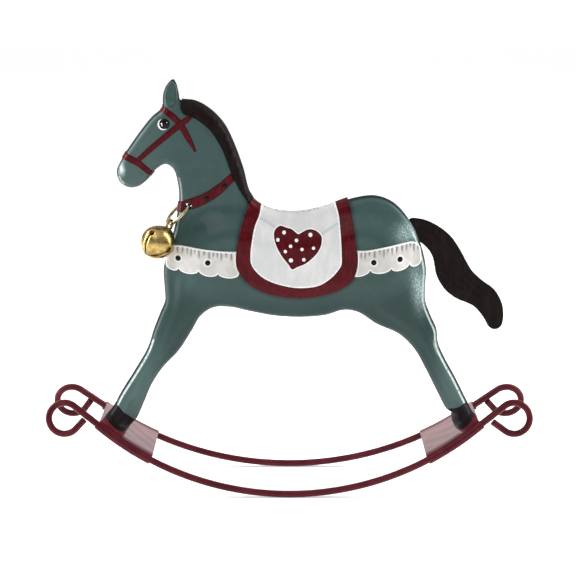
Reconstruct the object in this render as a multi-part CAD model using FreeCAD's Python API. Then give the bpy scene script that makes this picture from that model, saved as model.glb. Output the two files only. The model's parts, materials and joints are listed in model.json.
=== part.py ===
"""Small pressed-tin rocking horse: two stamped half shells with soldered-on tin trims, standing on two bent
wire rockers, with a jingle bell on a jump ring at the neck. Millimetres. The head points to -X, the left
side to -Y, +Z is up, and the origin is under the middle of the rockers, on the surface that they stand on."""
import FreeCAD, Part
import math
import os

V = FreeCAD.Vector

# ---- Driving dimensions: rockers ----
WIRE_DIA = 2.2
ROCKER_RADIUS = 98.0          # wire centre line, in the plane of the rocker
RISE_ANGLE = 38.0             # where the long arc runs into its straight end, degrees
LOOP_CENTRE_X = 73.8          # curled end's centre from the middle of the rocker
LOOP_RADIUS = 5.1
TRACK_WIDTH = 33.0            # wire to wire where the rockers touch the floor
LEAN_ANGLE = 12.9             # the rockers lean in at the top, degrees
TIP_GAP = 0.12                # a curled tip stops this short of its own wire
FRONT_TIP_LEFT = 47.0         # slope of each hand-bent tip, degrees
REAR_TIP_LEFT = 36.0
FRONT_TIP_RIGHT = 55.0
REAR_TIP_RIGHT = 49.0

# ---- Driving dimensions: foot plates ----
PLATE_SHEET = 0.45
PLATE_OUTER_X = 63.0
PLATE_INNER_X = 45.5
PLATE_RISE = 0.06             # the strip clears the wires by this much
WRAP_GAP = 0.02               # between a wire and the edge rolled round it

# ---- Driving dimensions: body shells ----
SHEET = 0.5                   # wall of the stamped tin
HEAD_DEPTH = 3.6              # half thickness of the head and neck, seam to face
LEG_DEPTH = 5.0
BARREL_DEPTH = 8.0
EDGE_DRAFT = 1.4              # the side wall leans in by this much from the seam to the face
PAD_DRAFT = 2.6               # the same for the raised barrel and legs
PAD_ROOT = 0.6                # how far a raised pad starts below the face that it stands on
EAR_INNER_Y = 0.35
EAR_OUTER_Y = 1.5
FOOT_SPREAD = 8.6             # the turned-out foot reaches this far from the seam plane
FOOT_SHEET = 0.6
FOOT_INNER_X = 54.0
FOOT_OUTER_X = 62.0
FOOT_MARGIN = 8.0             # the cut that seats the hooves runs this far past them

# ---- Driving dimensions: applied trims ----
SOLDER_FILM = 0.05            # between a trim and the shell that it lies on
CLOTH_SHEET = 0.7
LACE_SHEET = 0.45
STRAP_SHEET = 0.3
MANE_SHEET = 0.5
TRIM_GAP = 0.15               # between neighbouring trims
STUD_HEIGHT = 0.45
LACE_STUD_DIA = 1.9
STRAP_STUD_DIA = 1.5

# ---- Driving dimensions: tail ----
TAIL_THICKNESS = 1.6
TAIL_SLOT_GAP = 0.05

# ---- Driving dimensions: jump ring and bell ----
RING_WIRE_DIA = 1.0
RING_RADIUS = 5.3             # wire centre line
RING_PIVOT_X = -33.3
RING_PIVOT_Z = 94.8
RING_PIVOT_OFFSET = 3.85      # ring centre to the line through the two neck holes
RING_HANG_ANGLE = 45.0        # the ring leans forward from the vertical by this much, degrees
RING_TWIST_ANGLE = 12.0       # the line through the two holes is skewed by this much, degrees
NECK_HOLE_DIA = 2.8
STRAP_HOLE_MARGIN = 0.5       # the hole in the strap is this much wider than the one in the shell
LINK_ANGLE = 35.0             # where the bell hangs, round the ring from its lowest point, degrees
BELL_RADIUS = 5.2
BELL_WALL = 0.45
BELL_SLOT_WIDTH = 1.0
BELL_SLOT_SPAN = 1.5          # of the bell's radius
BELL_CLEARANCE = 0.25         # the breast lace is cut back this far round the bell
BELL_LOOP_RADIUS = 1.6        # wire centre line
BELL_LOOP_WIRE_DIA = 0.9
LINK_GAP = 0.1
PELLET_DIA = 2.8
PELLET_GAP = 0.1

# ---- Outlines, as x and z pairs; each is a closed smooth curve unless its function says otherwise ----
HORSE_OUTLINE = [
    (-40.5, 126), (-44.5, 123), (-50, 116), (-54.3, 109.5), (-56, 105.5), (-55, 102), (-52, 100.2),
    (-49, 100.6), (-46, 102.8), (-43, 106.3), (-40, 107.8), (-37.6, 106.2), (-36.3, 102), (-35.9, 97),
    (-36.5, 92), (-37.8, 86), (-40, 79), (-41.3, 73), (-41.1, 67), (-41, 62.5), (-42.6, 58.5), (-44.8, 53),
    (-47, 46.5), (-51.3, 39), (-56, 31.5), (-59.4, 25.6), (-59.6, 22.2), (-57, 19.8), (-53.8, 20.6),
    (-51, 24), (-49, 28), (-46.3, 34), (-42.2, 39.8), (-36.6, 45.6), (-32.3, 52.3), (-29.2, 57.4),
    (-25, 60.2), (-19.5, 60.4), (-13, 59), (-5, 57.5), (4, 57), (12, 57.7), (18, 59.4), (22.5, 58.7),
    (28.8, 54.7), (36.3, 51.2), (41.5, 46), (45.2, 39.5), (50, 30), (52.2, 24.6), (54, 21), (57.3, 20),
    (59.8, 22.4), (59.2, 28), (54.9, 37), (51.7, 42.8), (49.3, 48.3), (48.7, 53), (46.8, 57.3),
    (44.9, 62.5), (44.8, 68), (44.9, 73.5), (43, 81.5), (39.5, 89), (34, 95.2), (28, 97.5), (21, 96.9),
    (11, 93.8), (2, 92.3), (-6, 93.2), (-11.5, 96), (-14, 100.5), (-16, 107), (-18.2, 113), (-20.8, 118),
    (-24.4, 122.5), (-28.7, 125.8), (-33, 127), (-37, 127),
]
EAR_OUTLINE = [
    (-40.2, 124.8), (-40.6, 128.5), (-40.3, 131.3), (-38.5, 134.4), (-37.2, 135.3), (-36.4, 134.4),
    (-35.4, 130.8), (-35.4, 127.5), (-36.5, 124.5),
]
BARREL_OUTLINE = [
    (-33.5, 84), (-35.6, 75), (-34.5, 66), (-28.5, 64), (-14, 63.2), (4, 61.6), (18, 63.5), (30, 63),
    (39, 68), (40.3, 77), (34.5, 88), (25, 92.3), (10, 89.4), (-6, 89), (-18, 92), (-28, 90.5),
]
FRONT_LEG_OUTLINE = [
    (-37, 70), (-38.8, 62), (-42, 53), (-45.5, 44.5), (-50.5, 36.5), (-55, 29.5), (-57.6, 24.3),
    (-55.3, 22.8), (-52.3, 25.2), (-48.5, 33), (-44.6, 39.6), (-39.5, 46), (-34.5, 54.5), (-29.5, 62),
    (-30.5, 69),
]
HIND_LEG_OUTLINE = [
    (26, 67), (29.5, 57.5), (38, 53), (43.5, 46.8), (47.4, 39), (52, 29.5), (54.2, 24.2), (57.3, 23.4),
    (57.4, 27.5), (53, 36.5), (49.3, 43.5), (46.6, 51.5), (43.6, 59), (42, 68), (34, 73),
]
MANE_OUTER = [
    (-11.5, 96.6), (-14.9, 106.7), (-17.9, 115), (-20.9, 120.8), (-25.2, 125.1), (-30, 127.6), (-35.5, 128.2),
]
MANE_INNER = [
    (-35.2, 125.6), (-33.6, 123.9), (-29.8, 122.5), (-25.5, 119), (-21.8, 113), (-18.9, 105.3),
    (-16, 99.4), (-12.6, 95.2),
]
CLOTH_SIDES = [
    (-12.2, 95.4), (-14.6, 91.5), (-16.3, 85.5), (-17.3, 78), (-16.5, 73.6), (-12.5, 69), (-6, 66),
    (2, 64.6), (10, 65.3), (17, 67.9), (20.8, 71.6), (22.2, 77.5), (21.4, 84), (20, 91.5), (17.8, 98),
]
CLOTH_TOP_MARGIN = 8.0        # the cutting prism passes over the back by this much
BREAST_LACE_TOP = [(-43, 79.2), (-36, 81.6), (-29.5, 80.7), (-23, 80.1), (-16, 80.4)]
BREAST_LACE_LOBES = [(-43.5, 72.6), (-36.3, 74), (-29.2, 73.4), (-23, 72.5), (-16, 71.6)]
RUMP_LACE_TOP = [(21, 81.2), (27, 81.4), (36, 83.2), (40, 83.6), (46.5, 81.5)]
RUMP_LACE_LOBES = [(20, 71.9), (26.5, 73.9), (33, 74.6), (39.2, 75.5), (46.5, 75)]
LOBE_DROP = 1.5               # how far each scallop hangs below the line between its two ends
NECK_STRAP_TOP = [(-38.5, 94.6), (-34, 96.3), (-28, 98.6), (-23, 101.6), (-18.6, 105.6)]
NECK_STRAP_BOTTOM = [(-15.5, 104.5), (-20.6, 99.6), (-25, 96.3), (-30, 94), (-34.5, 92.6), (-38.5, 91.6)]
TAIL_OUTLINE = [
    (36.5, 88.5), (42, 90.2), (47.3, 88.3), (53, 84), (57.2, 77.8), (61, 71.7), (66.3, 67.4),
    (69.8, 62.5), (70.8, 57), (69.4, 53.3), (66.8, 52.9), (64.5, 56), (61, 60.3), (56, 62.7),
    (51.3, 66.2), (48, 72), (46.6, 78), (43.5, 81.6), (38.5, 82.5),
]
BREAST_STUDS = [(-36.2, 77.6), (-26.4, 76.7)]
RUMP_STUDS = [(27.3, 76.8), (35.9, 77.7)]
STRAP_STUDS = [(-26.8, 97.1), (-20.9, 101.2)]
HOOF_FRONT = [(-57.7, 27.8), (-62, 22), (-62, 14), (-54, 14), (-54.2, 19), (-52.6, 23.2)]
HOOF_REAR = [(52.4, 25.6), (53.6, 21.5), (54, 14), (62.5, 14), (62.3, 22.5), (59.2, 28.3)]

WIRE_R = WIRE_DIA / 2
LEAN = math.radians(LEAN_ANGLE)
MIRROR = V(0, 1, 0)
DEEP = 40.0                   # longer than anything that a cutting prism has to pass through


# ---- Small helpers ----
def flat(points, y=0.0):
    """Points of the XZ plane as vectors at depth y."""
    return [V(x, y, z) for x, z in points]


def smooth_loop(points, y=0.0):
    """Closed smooth curve through the points."""
    curve = Part.BSplineCurve()
    curve.interpolate(flat(points, y), PeriodicFlag=True)
    return curve


def smooth_line(points, y=0.0):
    """Open smooth curve through the points."""
    curve = Part.BSplineCurve()
    curve.interpolate(flat(points, y))
    return curve


def grown(points, grow):
    """The same outline moved outwards by grow, or inwards where grow is negative."""
    curve = smooth_loop(points)
    area = sum(a[0] * b[1] - b[0] * a[1] for a, b in zip(points, points[1:] + points[:1]))
    side = 1.0 if area > 0 else -1.0
    moved = []
    for point in points:
        along = curve.tangent(curve.parameter(V(point[0], 0, point[1])))[0]
        along.normalize()
        moved.append((point[0] + side * grow * along.z, point[1] - side * grow * along.x))
    return moved


def prism(edges, y_low=-DEEP, y_high=0.0):
    """Solid between two depths under a closed set of edges drawn at depth 0."""
    face = Part.Face(Part.Wire(edges))
    face.translate(V(0, y_low, 0))
    return face.extrude(V(0, y_high - y_low, 0))


def ends_joined(first, second):
    """Edges of a closed outline: two open curves, with straight lines from each end to the next start."""
    a, b = first.toShape(), second.toShape()
    first_end, second_start = first.EndPoint, second.StartPoint
    second_end, first_start = second.EndPoint, first.StartPoint
    return [a, Part.LineSegment(first_end, second_start).toShape(), b,
            Part.LineSegment(second_end, first_start).toShape()]


def dished(points, y_root, depth, draft, grow):
    """One stamped form with a drafted side wall, from y_root to the face at -depth, grown by grow."""
    root = Part.Wire(smooth_loop(grown(points, grow), y_root).toShape())
    face = Part.Wire(smooth_loop(grown(points, grow - draft), -(depth + grow)).toShape())
    return Part.makeLoft([root, face], True, True)


def half_form(grow):
    """The left half of the horse as a solid, with every face moved outwards by grow."""
    form = dished(HORSE_OUTLINE, 0.0, HEAD_DEPTH, EDGE_DRAFT, grow)
    pad_root = -(HEAD_DEPTH + grow - PAD_ROOT)
    pads = [(BARREL_OUTLINE, BARREL_DEPTH), (FRONT_LEG_OUTLINE, LEG_DEPTH), (HIND_LEG_OUTLINE, LEG_DEPTH)]
    for outline, depth in pads:
        draft = PAD_DRAFT * (depth - HEAD_DEPTH) / (BARREL_DEPTH - HEAD_DEPTH) + EDGE_DRAFT / 2
        form = form.fuse(dished(outline, pad_root, depth, draft, grow))
    return form


def cavity():
    """The hollow inside the left half: the head, neck, legs and barrel, one sheet in from the outside."""
    hollow = dished(HORSE_OUTLINE, 0.0, HEAD_DEPTH, EDGE_DRAFT, -SHEET)
    belly_root = -(HEAD_DEPTH - SHEET - PAD_ROOT)
    return hollow.fuse(dished(BARREL_OUTLINE, belly_root, BARREL_DEPTH, PAD_DRAFT + EDGE_DRAFT / 2, -SHEET))


def skin(inner, sheet):
    """Layer of the given thickness that wraps the left half, inner above its surface."""
    return half_form(inner + sheet).cut(half_form(inner))


def mirrored(shape):
    return shape.mirror(V(0, 0, 0), MIRROR)


def save(node, shape):
    shape.exportStep(os.path.join("parts", node + ".step"))
    solids = shape.Solids
    print(node, "solids", len(solids), "valid", shape.isValid(), "volume", round(shape.Volume, 2))


# ---- Rockers and foot plates ----
def rocker_point(angle):
    """Centre line of the long arc in the rocker's own plane: x along, s up."""
    return ROCKER_RADIUS * math.sin(angle), ROCKER_RADIUS * (1 - math.cos(angle))


def rocker_half(tip_angle):
    """Path of one end, from the end of the long arc round the loop to the tip, for the +X end."""
    rise = math.radians(RISE_ANGLE)
    tip = math.radians(tip_angle)
    arc_x, arc_s = rocker_point(rise)
    run = (LOOP_CENTRE_X - LOOP_RADIUS * math.sin(rise) - arc_x) / math.cos(rise)
    top_x, top_s = arc_x + run * math.cos(rise), arc_s + run * math.sin(rise)
    centre_x, centre_s = top_x + LOOP_RADIUS * math.sin(rise), top_s - LOOP_RADIUS * math.cos(rise)
    turned_x = centre_x - LOOP_RADIUS * math.sin(tip)
    turned_s = centre_s - LOOP_RADIUS * math.cos(tip)
    meet = tip + rise
    reach = LOOP_RADIUS + LOOP_RADIUS * math.cos(meet) - WIRE_R - WIRE_R * abs(math.cos(meet)) - TIP_GAP
    length = reach / math.sin(meet)
    return {
        "arc": (arc_x, arc_s), "top": (top_x, top_s),
        "outermost": (centre_x + LOOP_RADIUS, centre_s), "turned": (turned_x, turned_s),
        "tip": (turned_x - length * math.cos(tip), turned_s + length * math.sin(tip)),
        "lowest": (centre_x, centre_s - LOOP_RADIUS),
    }


def rocker(front_tip, rear_tip, side):
    """Bent wire: tip, loop, straight, long arc, straight, loop, tip. side is -1 for left and 1 for right."""
    ends = {-1: rocker_half(front_tip), 1: rocker_half(rear_tip)}

    def at(end, key):
        x, s = ends[end][key]
        return V(end * x, 0, s)

    def end_edges(end):
        return [Part.LineSegment(at(end, "tip"), at(end, "turned")),
                Part.Arc(at(end, "turned"), at(end, "outermost"), at(end, "top")),
                Part.LineSegment(at(end, "top"), at(end, "arc"))]

    middle = Part.Arc(at(-1, "arc"), V(0, 0, 0), at(1, "arc"))
    rear = [edge.toShape() for edge in end_edges(1)]
    path = Part.Wire([edge.toShape() for edge in end_edges(-1)] + [middle.toShape()] + rear[::-1])
    start, after = at(-1, "tip"), at(-1, "turned")
    section = Part.Wire(Part.makeCircle(WIRE_R, start, after - start))
    wire = path.makePipeShell([section], True, False)
    return lean_out(wire, side)


def lean_out(shape, side):
    """Takes a shape from the rocker's own plane to its leaning place on one side."""
    shape.rotate(V(0, 0, 0), V(1, 0, 0), side * LEAN_ANGLE)
    shape.translate(V(0, side * TRACK_WIDTH / 2, WIRE_R))
    return shape


def wire_place(x, side):
    """Centre of the leaning wire at that x, on its long arc."""
    s = ROCKER_RADIUS - math.sqrt(ROCKER_RADIUS ** 2 - x ** 2)
    return V(x, side * (TRACK_WIDTH / 2 - s * math.sin(LEAN)), WIRE_R + s * math.cos(LEAN))


def plate_circle():
    """Centre height and radius of the circle, centred on the middle of the rocker, nearest to the wires."""
    inner, outer = wire_place(PLATE_INNER_X, 1), wire_place(PLATE_OUTER_X, 1)
    centre_z = ((outer.x ** 2 + outer.z ** 2) - (inner.x ** 2 + inner.z ** 2)) / (2 * (outer.z - inner.z))
    return centre_z, math.hypot(inner.x, centre_z - inner.z)


def curved_slab(end, x_inner, x_outer, y_low, y_high, above_low, above_high):
    """Part of a cylinder that follows the rockers between two x and two heights above the wires' centres."""
    centre_z, radius = plate_circle()

    def at(x, above):
        r = radius - above
        return V(end * x, y_low, centre_z - math.sqrt(r * r - x * x))

    x_middle = (x_inner + x_outer) / 2
    edges = [
        Part.Arc(at(x_inner, above_low), at(x_middle, above_low), at(x_outer, above_low)).toShape(),
        Part.LineSegment(at(x_outer, above_low), at(x_outer, above_high)).toShape(),
        Part.Arc(at(x_outer, above_high), at(x_middle, above_high), at(x_inner, above_high)).toShape(),
        Part.LineSegment(at(x_inner, above_high), at(x_inner, above_low)).toShape(),
    ]
    return Part.Face(Part.Wire(edges)).extrude(V(0, y_high - y_low, 0))


def plate_top():
    return WIRE_R + PLATE_RISE + PLATE_SHEET


def wrapped_edge(end, side):
    """Plate edge rolled round its wire."""
    angles = [math.asin(x / ROCKER_RADIUS) for x in (PLATE_INNER_X, PLATE_OUTER_X)]
    x, s = rocker_point(angles[0])
    centre = V(end * x, 0, s)
    along = V(end * math.cos(angles[0]), 0, math.sin(angles[0]))
    outer = Part.Face(Part.Wire(Part.makeCircle(WIRE_R + PLATE_SHEET, centre, along)))
    inner = Part.Face(Part.Wire(Part.makeCircle(WIRE_R + WRAP_GAP, centre, along)))
    turn = math.degrees(angles[1] - angles[0])
    tube = outer.cut(inner).revolve(V(0, 0, ROCKER_RADIUS), V(0, -end, 0), turn)
    return lean_out(tube, side)


def foot_plate(end):
    """Sheet bridge between the two wires; end is -1 for the front and 1 for the rear."""
    half_width = [wire_place(x, 1).y for x in (PLATE_INNER_X, PLATE_OUTER_X)]
    strip = curved_slab(end, PLATE_INNER_X, PLATE_OUTER_X, -TRACK_WIDTH, TRACK_WIDTH,
                        WIRE_R + PLATE_RISE, plate_top())
    corners = [V(end * PLATE_INNER_X, -half_width[0], 0), V(end * PLATE_OUTER_X, -half_width[1], 0),
               V(end * PLATE_OUTER_X, half_width[1], 0), V(end * PLATE_INNER_X, half_width[0], 0)]
    cutter = Part.Face(Part.makePolygon(corners + corners[:1])).extrude(V(0, 0, DEEP))
    plate = strip.common(cutter)
    return plate.fuse([wrapped_edge(end, -1), wrapped_edge(end, 1)]).removeSplitter()


# ---- Body shells ----
def under_plate(end):
    """Everything that the foot plate's top face keeps the hoof out of."""
    return curved_slab(end, FOOT_INNER_X - FOOT_MARGIN, FOOT_OUTER_X + FOOT_MARGIN, -DEEP, DEEP,
                       -FOOT_MARGIN, plate_top())


def hoof(outline, end):
    """Solid painted hoof with its foot turned out flat on the plate."""
    points = flat(outline)
    edges = [Part.LineSegment(a, b).toShape() for a, b in zip(points, points[1:] + points[:1])]
    block = prism(edges, -LEG_DEPTH, -EAR_INNER_Y)
    foot = curved_slab(end, FOOT_INNER_X, FOOT_OUTER_X, -FOOT_SPREAD, -LEG_DEPTH / 2,
                       plate_top() - FOOT_SHEET, plate_top() + FOOT_SHEET)
    return block.fuse(foot).cut(under_plate(end))


def ear():
    return prism([smooth_loop(EAR_OUTLINE).toShape()], -EAR_OUTER_Y, -EAR_INNER_Y)


def neck_hole(margin=0.0):
    """Drill through both sides of the neck on the line that the jump ring turns about."""
    axis = ring_frame()["axis"]
    pivot = V(RING_PIVOT_X, 0, RING_PIVOT_Z)
    return Part.makeCylinder((NECK_HOLE_DIA + margin) / 2, DEEP, pivot - axis * (DEEP / 2), axis)


def body_shell():
    shell = half_form(0.0).cut(cavity())
    for end, outline in ((-1, HOOF_FRONT), (1, HOOF_REAR)):
        shell = shell.cut(under_plate(end)).fuse(hoof(outline, end))
    shell = shell.fuse(ear())
    return shell.cut(tail_slot())


# ---- Trims ----
def mane_prism():
    return prism(ends_joined(smooth_line(MANE_OUTER), smooth_line(MANE_INNER)))


def mane():
    return skin(SOLDER_FILM, MANE_SHEET).common(mane_prism().cut(cloth_prism(TRIM_GAP)))


def cloth_prism(margin=0.0):
    sides = smooth_line(grown_open(CLOTH_SIDES, margin))
    front, rear = sides.StartPoint, sides.EndPoint
    over = [front + V(0, 0, CLOTH_TOP_MARGIN), rear + V(0, 0, CLOTH_TOP_MARGIN)]
    edges = [sides.toShape(), Part.LineSegment(rear, over[1]).toShape(),
             Part.LineSegment(over[1], over[0]).toShape(), Part.LineSegment(over[0], front).toShape()]
    return prism(edges)


def grown_open(points, margin):
    """The saddle cloth's U-shaped edge moved outwards from its middle."""
    middle_x = (points[0][0] + points[-1][0]) / 2
    middle_z = max(z for x, z in points)
    moved = []
    for x, z in points:
        reach = math.hypot(x - middle_x, z - middle_z)
        scale = 1 + margin / reach
        moved.append((middle_x + (x - middle_x) * scale, middle_z + (z - middle_z) * scale))
    return moved


def saddle_cloth():
    return skin(SOLDER_FILM, CLOTH_SHEET).common(cloth_prism())


def scalloped(top, lobe_ends):
    """Lace outline: a smooth top edge and a row of round scallops below."""
    edge = smooth_line(top)
    start, end = edge.StartPoint, edge.EndPoint
    ends = flat(lobe_ends)[::-1]
    edges = [edge.toShape(), Part.LineSegment(end, ends[0]).toShape()]
    for a, b in zip(ends, ends[1:]):
        edges.append(Part.Arc(a, (a + b) * 0.5 - V(0, 0, LOBE_DROP), b).toShape())
    edges.append(Part.LineSegment(ends[-1], start).toShape())
    return edges


def lace(top, lobe_ends):
    band = prism(scalloped(top, lobe_ends)).cut(cloth_prism(TRIM_GAP))
    return skin(SOLDER_FILM, LACE_SHEET).common(band).cut(tail_slot())


def breast_lace():
    """Lace across the chest, which leaves room for the bell beside it."""
    room = Part.makeSphere(BELL_RADIUS + BELL_CLEARANCE, ring_frame()["bell"])
    return lace(BREAST_LACE_TOP, BREAST_LACE_LOBES).cut(room)


def neck_strap():
    band = prism(ends_joined(smooth_line(NECK_STRAP_TOP), smooth_line(NECK_STRAP_BOTTOM)))
    band = band.cut(mane_prism())
    return skin(SOLDER_FILM, STRAP_SHEET).common(band)


def studs(places, dia, under):
    """Round heads that follow the trim under them."""
    shell = skin(SOLDER_FILM + under, STUD_HEIGHT)
    heads = []
    for x, z in places:
        pin = Part.makeCylinder(dia / 2, DEEP, V(x, -DEEP, z), V(0, 1, 0))
        heads += shell.common(pin).Solids
    return heads


# ---- Tail ----
def tail():
    half = TAIL_THICKNESS / 2
    return prism([smooth_loop(TAIL_OUTLINE).toShape()], -half, half)


def tail_slot():
    half = TAIL_THICKNESS / 2 + TAIL_SLOT_GAP
    return prism([smooth_loop(grown(TAIL_OUTLINE, TAIL_SLOT_GAP)).toShape()], -half, half)


# ---- Jump ring and bell ----
def ring_frame():
    """Directions and centres of the hanging ring and bell, all worked out from the two neck holes."""
    hang, twist = math.radians(RING_HANG_ANGLE), math.radians(RING_TWIST_ANGLE)
    down = V(-math.sin(hang), 0, -math.cos(hang))
    across = V(math.cos(hang), 0, -math.sin(hang))
    axis = V(0, math.cos(twist), 0) - across * math.sin(twist)
    centre = V(RING_PIVOT_X, 0, RING_PIVOT_Z) + down * RING_PIVOT_OFFSET
    link = math.radians(LINK_ANGLE)
    hanging = down * math.cos(link) - axis * math.sin(link)
    wire_way = axis * math.cos(link) + down * math.sin(link)
    link_point = centre + hanging * RING_RADIUS
    slack = BELL_LOOP_RADIUS - BELL_LOOP_WIRE_DIA / 2 - RING_WIRE_DIA / 2 - LINK_GAP
    loop_centre = link_point + hanging * slack
    bell_centre = loop_centre + hanging * (BELL_LOOP_RADIUS + BELL_RADIUS)
    return {"axis": axis, "down": down, "centre": centre, "normal": axis.cross(down), "hanging": hanging,
            "wire_way": wire_way, "link": link_point, "loop": loop_centre, "bell": bell_centre}


def jump_ring():
    place = ring_frame()
    return Part.makeTorus(RING_RADIUS, RING_WIRE_DIA / 2, place["centre"], place["normal"])


def bell_loop():
    place = ring_frame()
    loop = Part.makeTorus(BELL_LOOP_RADIUS, BELL_LOOP_WIRE_DIA / 2, place["loop"], place["wire_way"])
    return loop.cut(Part.makeSphere(BELL_RADIUS, place["bell"]))


def bell_body():
    """Hollow ball with two crossed slots round its lower half."""
    place = ring_frame()
    outer = Part.makeSphere(BELL_RADIUS, place["bell"])
    ball = outer.cut(Part.makeSphere(BELL_RADIUS - BELL_WALL, place["bell"]))
    low = place["hanging"]
    for sideways in (place["wire_way"], low.cross(place["wire_way"])):
        length = BELL_SLOT_SPAN * BELL_RADIUS
        slot = Part.makeBox(length, BELL_SLOT_WIDTH, 2 * BELL_RADIUS, V(-length / 2, -BELL_SLOT_WIDTH / 2, 0))
        turn = FreeCAD.Rotation(sideways, low.cross(sideways), low, "ZXY")
        slot.Placement = FreeCAD.Placement(place["bell"], turn)
        ball = ball.cut(slot)
    return ball


def bell_pellet():
    place = ring_frame()
    reach = BELL_RADIUS - BELL_WALL - PELLET_GAP - PELLET_DIA / 2
    return Part.makeSphere(PELLET_DIA / 2, place["bell"] + place["hanging"] * reach)


# ---- Writing the parts ----
def main():
    os.makedirs("parts", exist_ok=True)
    hole = neck_hole()
    shell = body_shell()
    save("body_shell_left", shell.cut(hole))
    save("body_shell_right", mirrored(shell).cut(hole))
    strap = neck_strap()
    strap_hole = neck_hole(STRAP_HOLE_MARGIN)
    save("neck_strap_left", strap.cut(strap_hole))
    save("neck_strap_right", mirrored(strap).cut(strap_hole))
    pairs = {"mane_strip": mane(), "saddle_cloth": saddle_cloth(),
             "breast_lace": breast_lace(),
             "rump_lace": lace(RUMP_LACE_TOP, RUMP_LACE_LOBES)}
    for name, piece in pairs.items():
        save(name + "_left", piece)
        save(name + "_right", mirrored(piece))
    lace_heads = studs(BREAST_STUDS + RUMP_STUDS, LACE_STUD_DIA, LACE_SHEET)
    strap_heads = studs(STRAP_STUDS, STRAP_STUD_DIA, STRAP_SHEET)
    save("lace_studs", Part.makeCompound(lace_heads + [mirrored(head) for head in lace_heads]))
    save("strap_studs", Part.makeCompound(strap_heads + [mirrored(head) for head in strap_heads]))
    save("tail", tail())
    save("rocker_wire_left", rocker(FRONT_TIP_LEFT, REAR_TIP_LEFT, -1))
    save("rocker_wire_right", rocker(FRONT_TIP_RIGHT, REAR_TIP_RIGHT, 1))
    save("front_foot_plate", foot_plate(-1))
    save("rear_foot_plate", foot_plate(1))
    save("jump_ring", jump_ring())
    save("bell_body", bell_body())
    save("bell_loop", bell_loop())
    save("bell_pellet", bell_pellet())


main()
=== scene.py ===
"""Small pressed-tin rocking horse.

Two dished half shells with painted hooves and soldered-on tin trims, a flat tail, two bent wire rockers
with foot plates rolled round them, and a brass jingle bell on a jump ring at the neck. Outlines and
thicknesses are in millimetres in the horse's own side view, and MM turns them into metres."""
import json
import math
import bpy
import numpy as np
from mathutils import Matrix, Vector
from mathutils.geometry import delaunay_2d_cdt
from mathutils.kdtree import KDTree


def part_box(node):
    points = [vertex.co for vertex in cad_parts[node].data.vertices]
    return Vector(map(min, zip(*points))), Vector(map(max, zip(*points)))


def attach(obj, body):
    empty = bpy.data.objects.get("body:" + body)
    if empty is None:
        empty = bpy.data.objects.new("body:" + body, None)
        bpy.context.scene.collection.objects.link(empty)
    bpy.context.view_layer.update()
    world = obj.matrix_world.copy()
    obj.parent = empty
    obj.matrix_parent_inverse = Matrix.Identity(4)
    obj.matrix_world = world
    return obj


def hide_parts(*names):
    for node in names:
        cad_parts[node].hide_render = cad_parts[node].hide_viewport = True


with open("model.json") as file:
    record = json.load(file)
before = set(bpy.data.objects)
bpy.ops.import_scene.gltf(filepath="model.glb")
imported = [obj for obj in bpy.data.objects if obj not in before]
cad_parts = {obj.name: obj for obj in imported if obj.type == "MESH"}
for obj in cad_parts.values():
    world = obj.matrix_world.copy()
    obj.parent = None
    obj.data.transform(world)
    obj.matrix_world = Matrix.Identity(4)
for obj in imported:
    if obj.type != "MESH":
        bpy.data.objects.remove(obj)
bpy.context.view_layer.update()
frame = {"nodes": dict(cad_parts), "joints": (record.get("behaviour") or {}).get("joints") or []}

MM = 0.001
CURVE_STEP = 0.45             # spacing of the points along an outline
FINE_STEP = 0.3               # and along the small ones

# ---- Shells ----
SHEET = 0.5                   # wall of the stamped tin
SEAM_GAP = 0.015              # each half stops this short of the middle plane
EDGE_ROUND = 2.3              # the pressed edge turns in over this width
HEAD_DEPTH = 3.6
EAR_DEPTH = 1.9
EAR_ROOT_Z = 123.5            # the head thins to the ears from here up
EAR_PART_Z = 127.5            # the two ears stand apart from here up
EAR_APART = 0.35
BARREL_RISE = 4.2             # the raised barrel and legs stand this far above the flat of the shell
LEG_RISE = 1.5
BARREL_SOFT = 11.0            # widths over which they rise
LEG_SOFT = 3.2
FOOT_RISE = 4.0               # the turned-out foot
FOOT_SOFT = 1.0
FOOT_X = (50.5, 63.0)         # where the feet turn out, to each side of the middle
FOOT_ROW_STEP = 0.45
FOOT_ROW_HEIGHTS = (0.12, 0.3, 0.55, 0.85, 1.25, 1.75, 2.4, 3.2)
RIM_LINE = 0.95               # the painted highlight line lies this far inside the edge
RIM_WIDTH = 0.2
RIM_FRONT_X = -34.0           # it runs down the front leg and the throat ahead of here, up to these heights
RIM_LEG_TOP = 50.0
RIM_THROAT = (82.0, 104.0)
RIM_REAR_X = 40.0             # and down the rump and the hind leg behind here
RIM_REAR_TOP = 92.0
LIP_FADE = 2.5                # the inner skin takes up the wall's thickness over this width

# ---- Applied trims: height above the shell, thickness ----
UNDERCUT = 0.06               # a trim's back lies this far under its own height
EAR_SHEET = (-0.02, 0.3)
CLOTH = (0.05, 0.65)
BORDER_PAINT = 0.12
HEART_PAINT = 0.13
HEART_RIM_PAINT = 0.1
HEART_RIM_WIDTH = 0.35
PAINT_SINK = 0.02             # a paint layer starts this far inside the one under it
HEART_RIM_SINK = 0.03
LACE = (0.05, 0.55)
STRAP = (0.05, 0.3)
MANE = (0.05, 0.75)
LOCK_RISE = 0.05              # half the height of the mane's painted locks
BRIDLE = (-0.03, 0.2)
BRIDLE_STEP = 0.05            # each later stroke lies this much higher, over the one before

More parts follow.
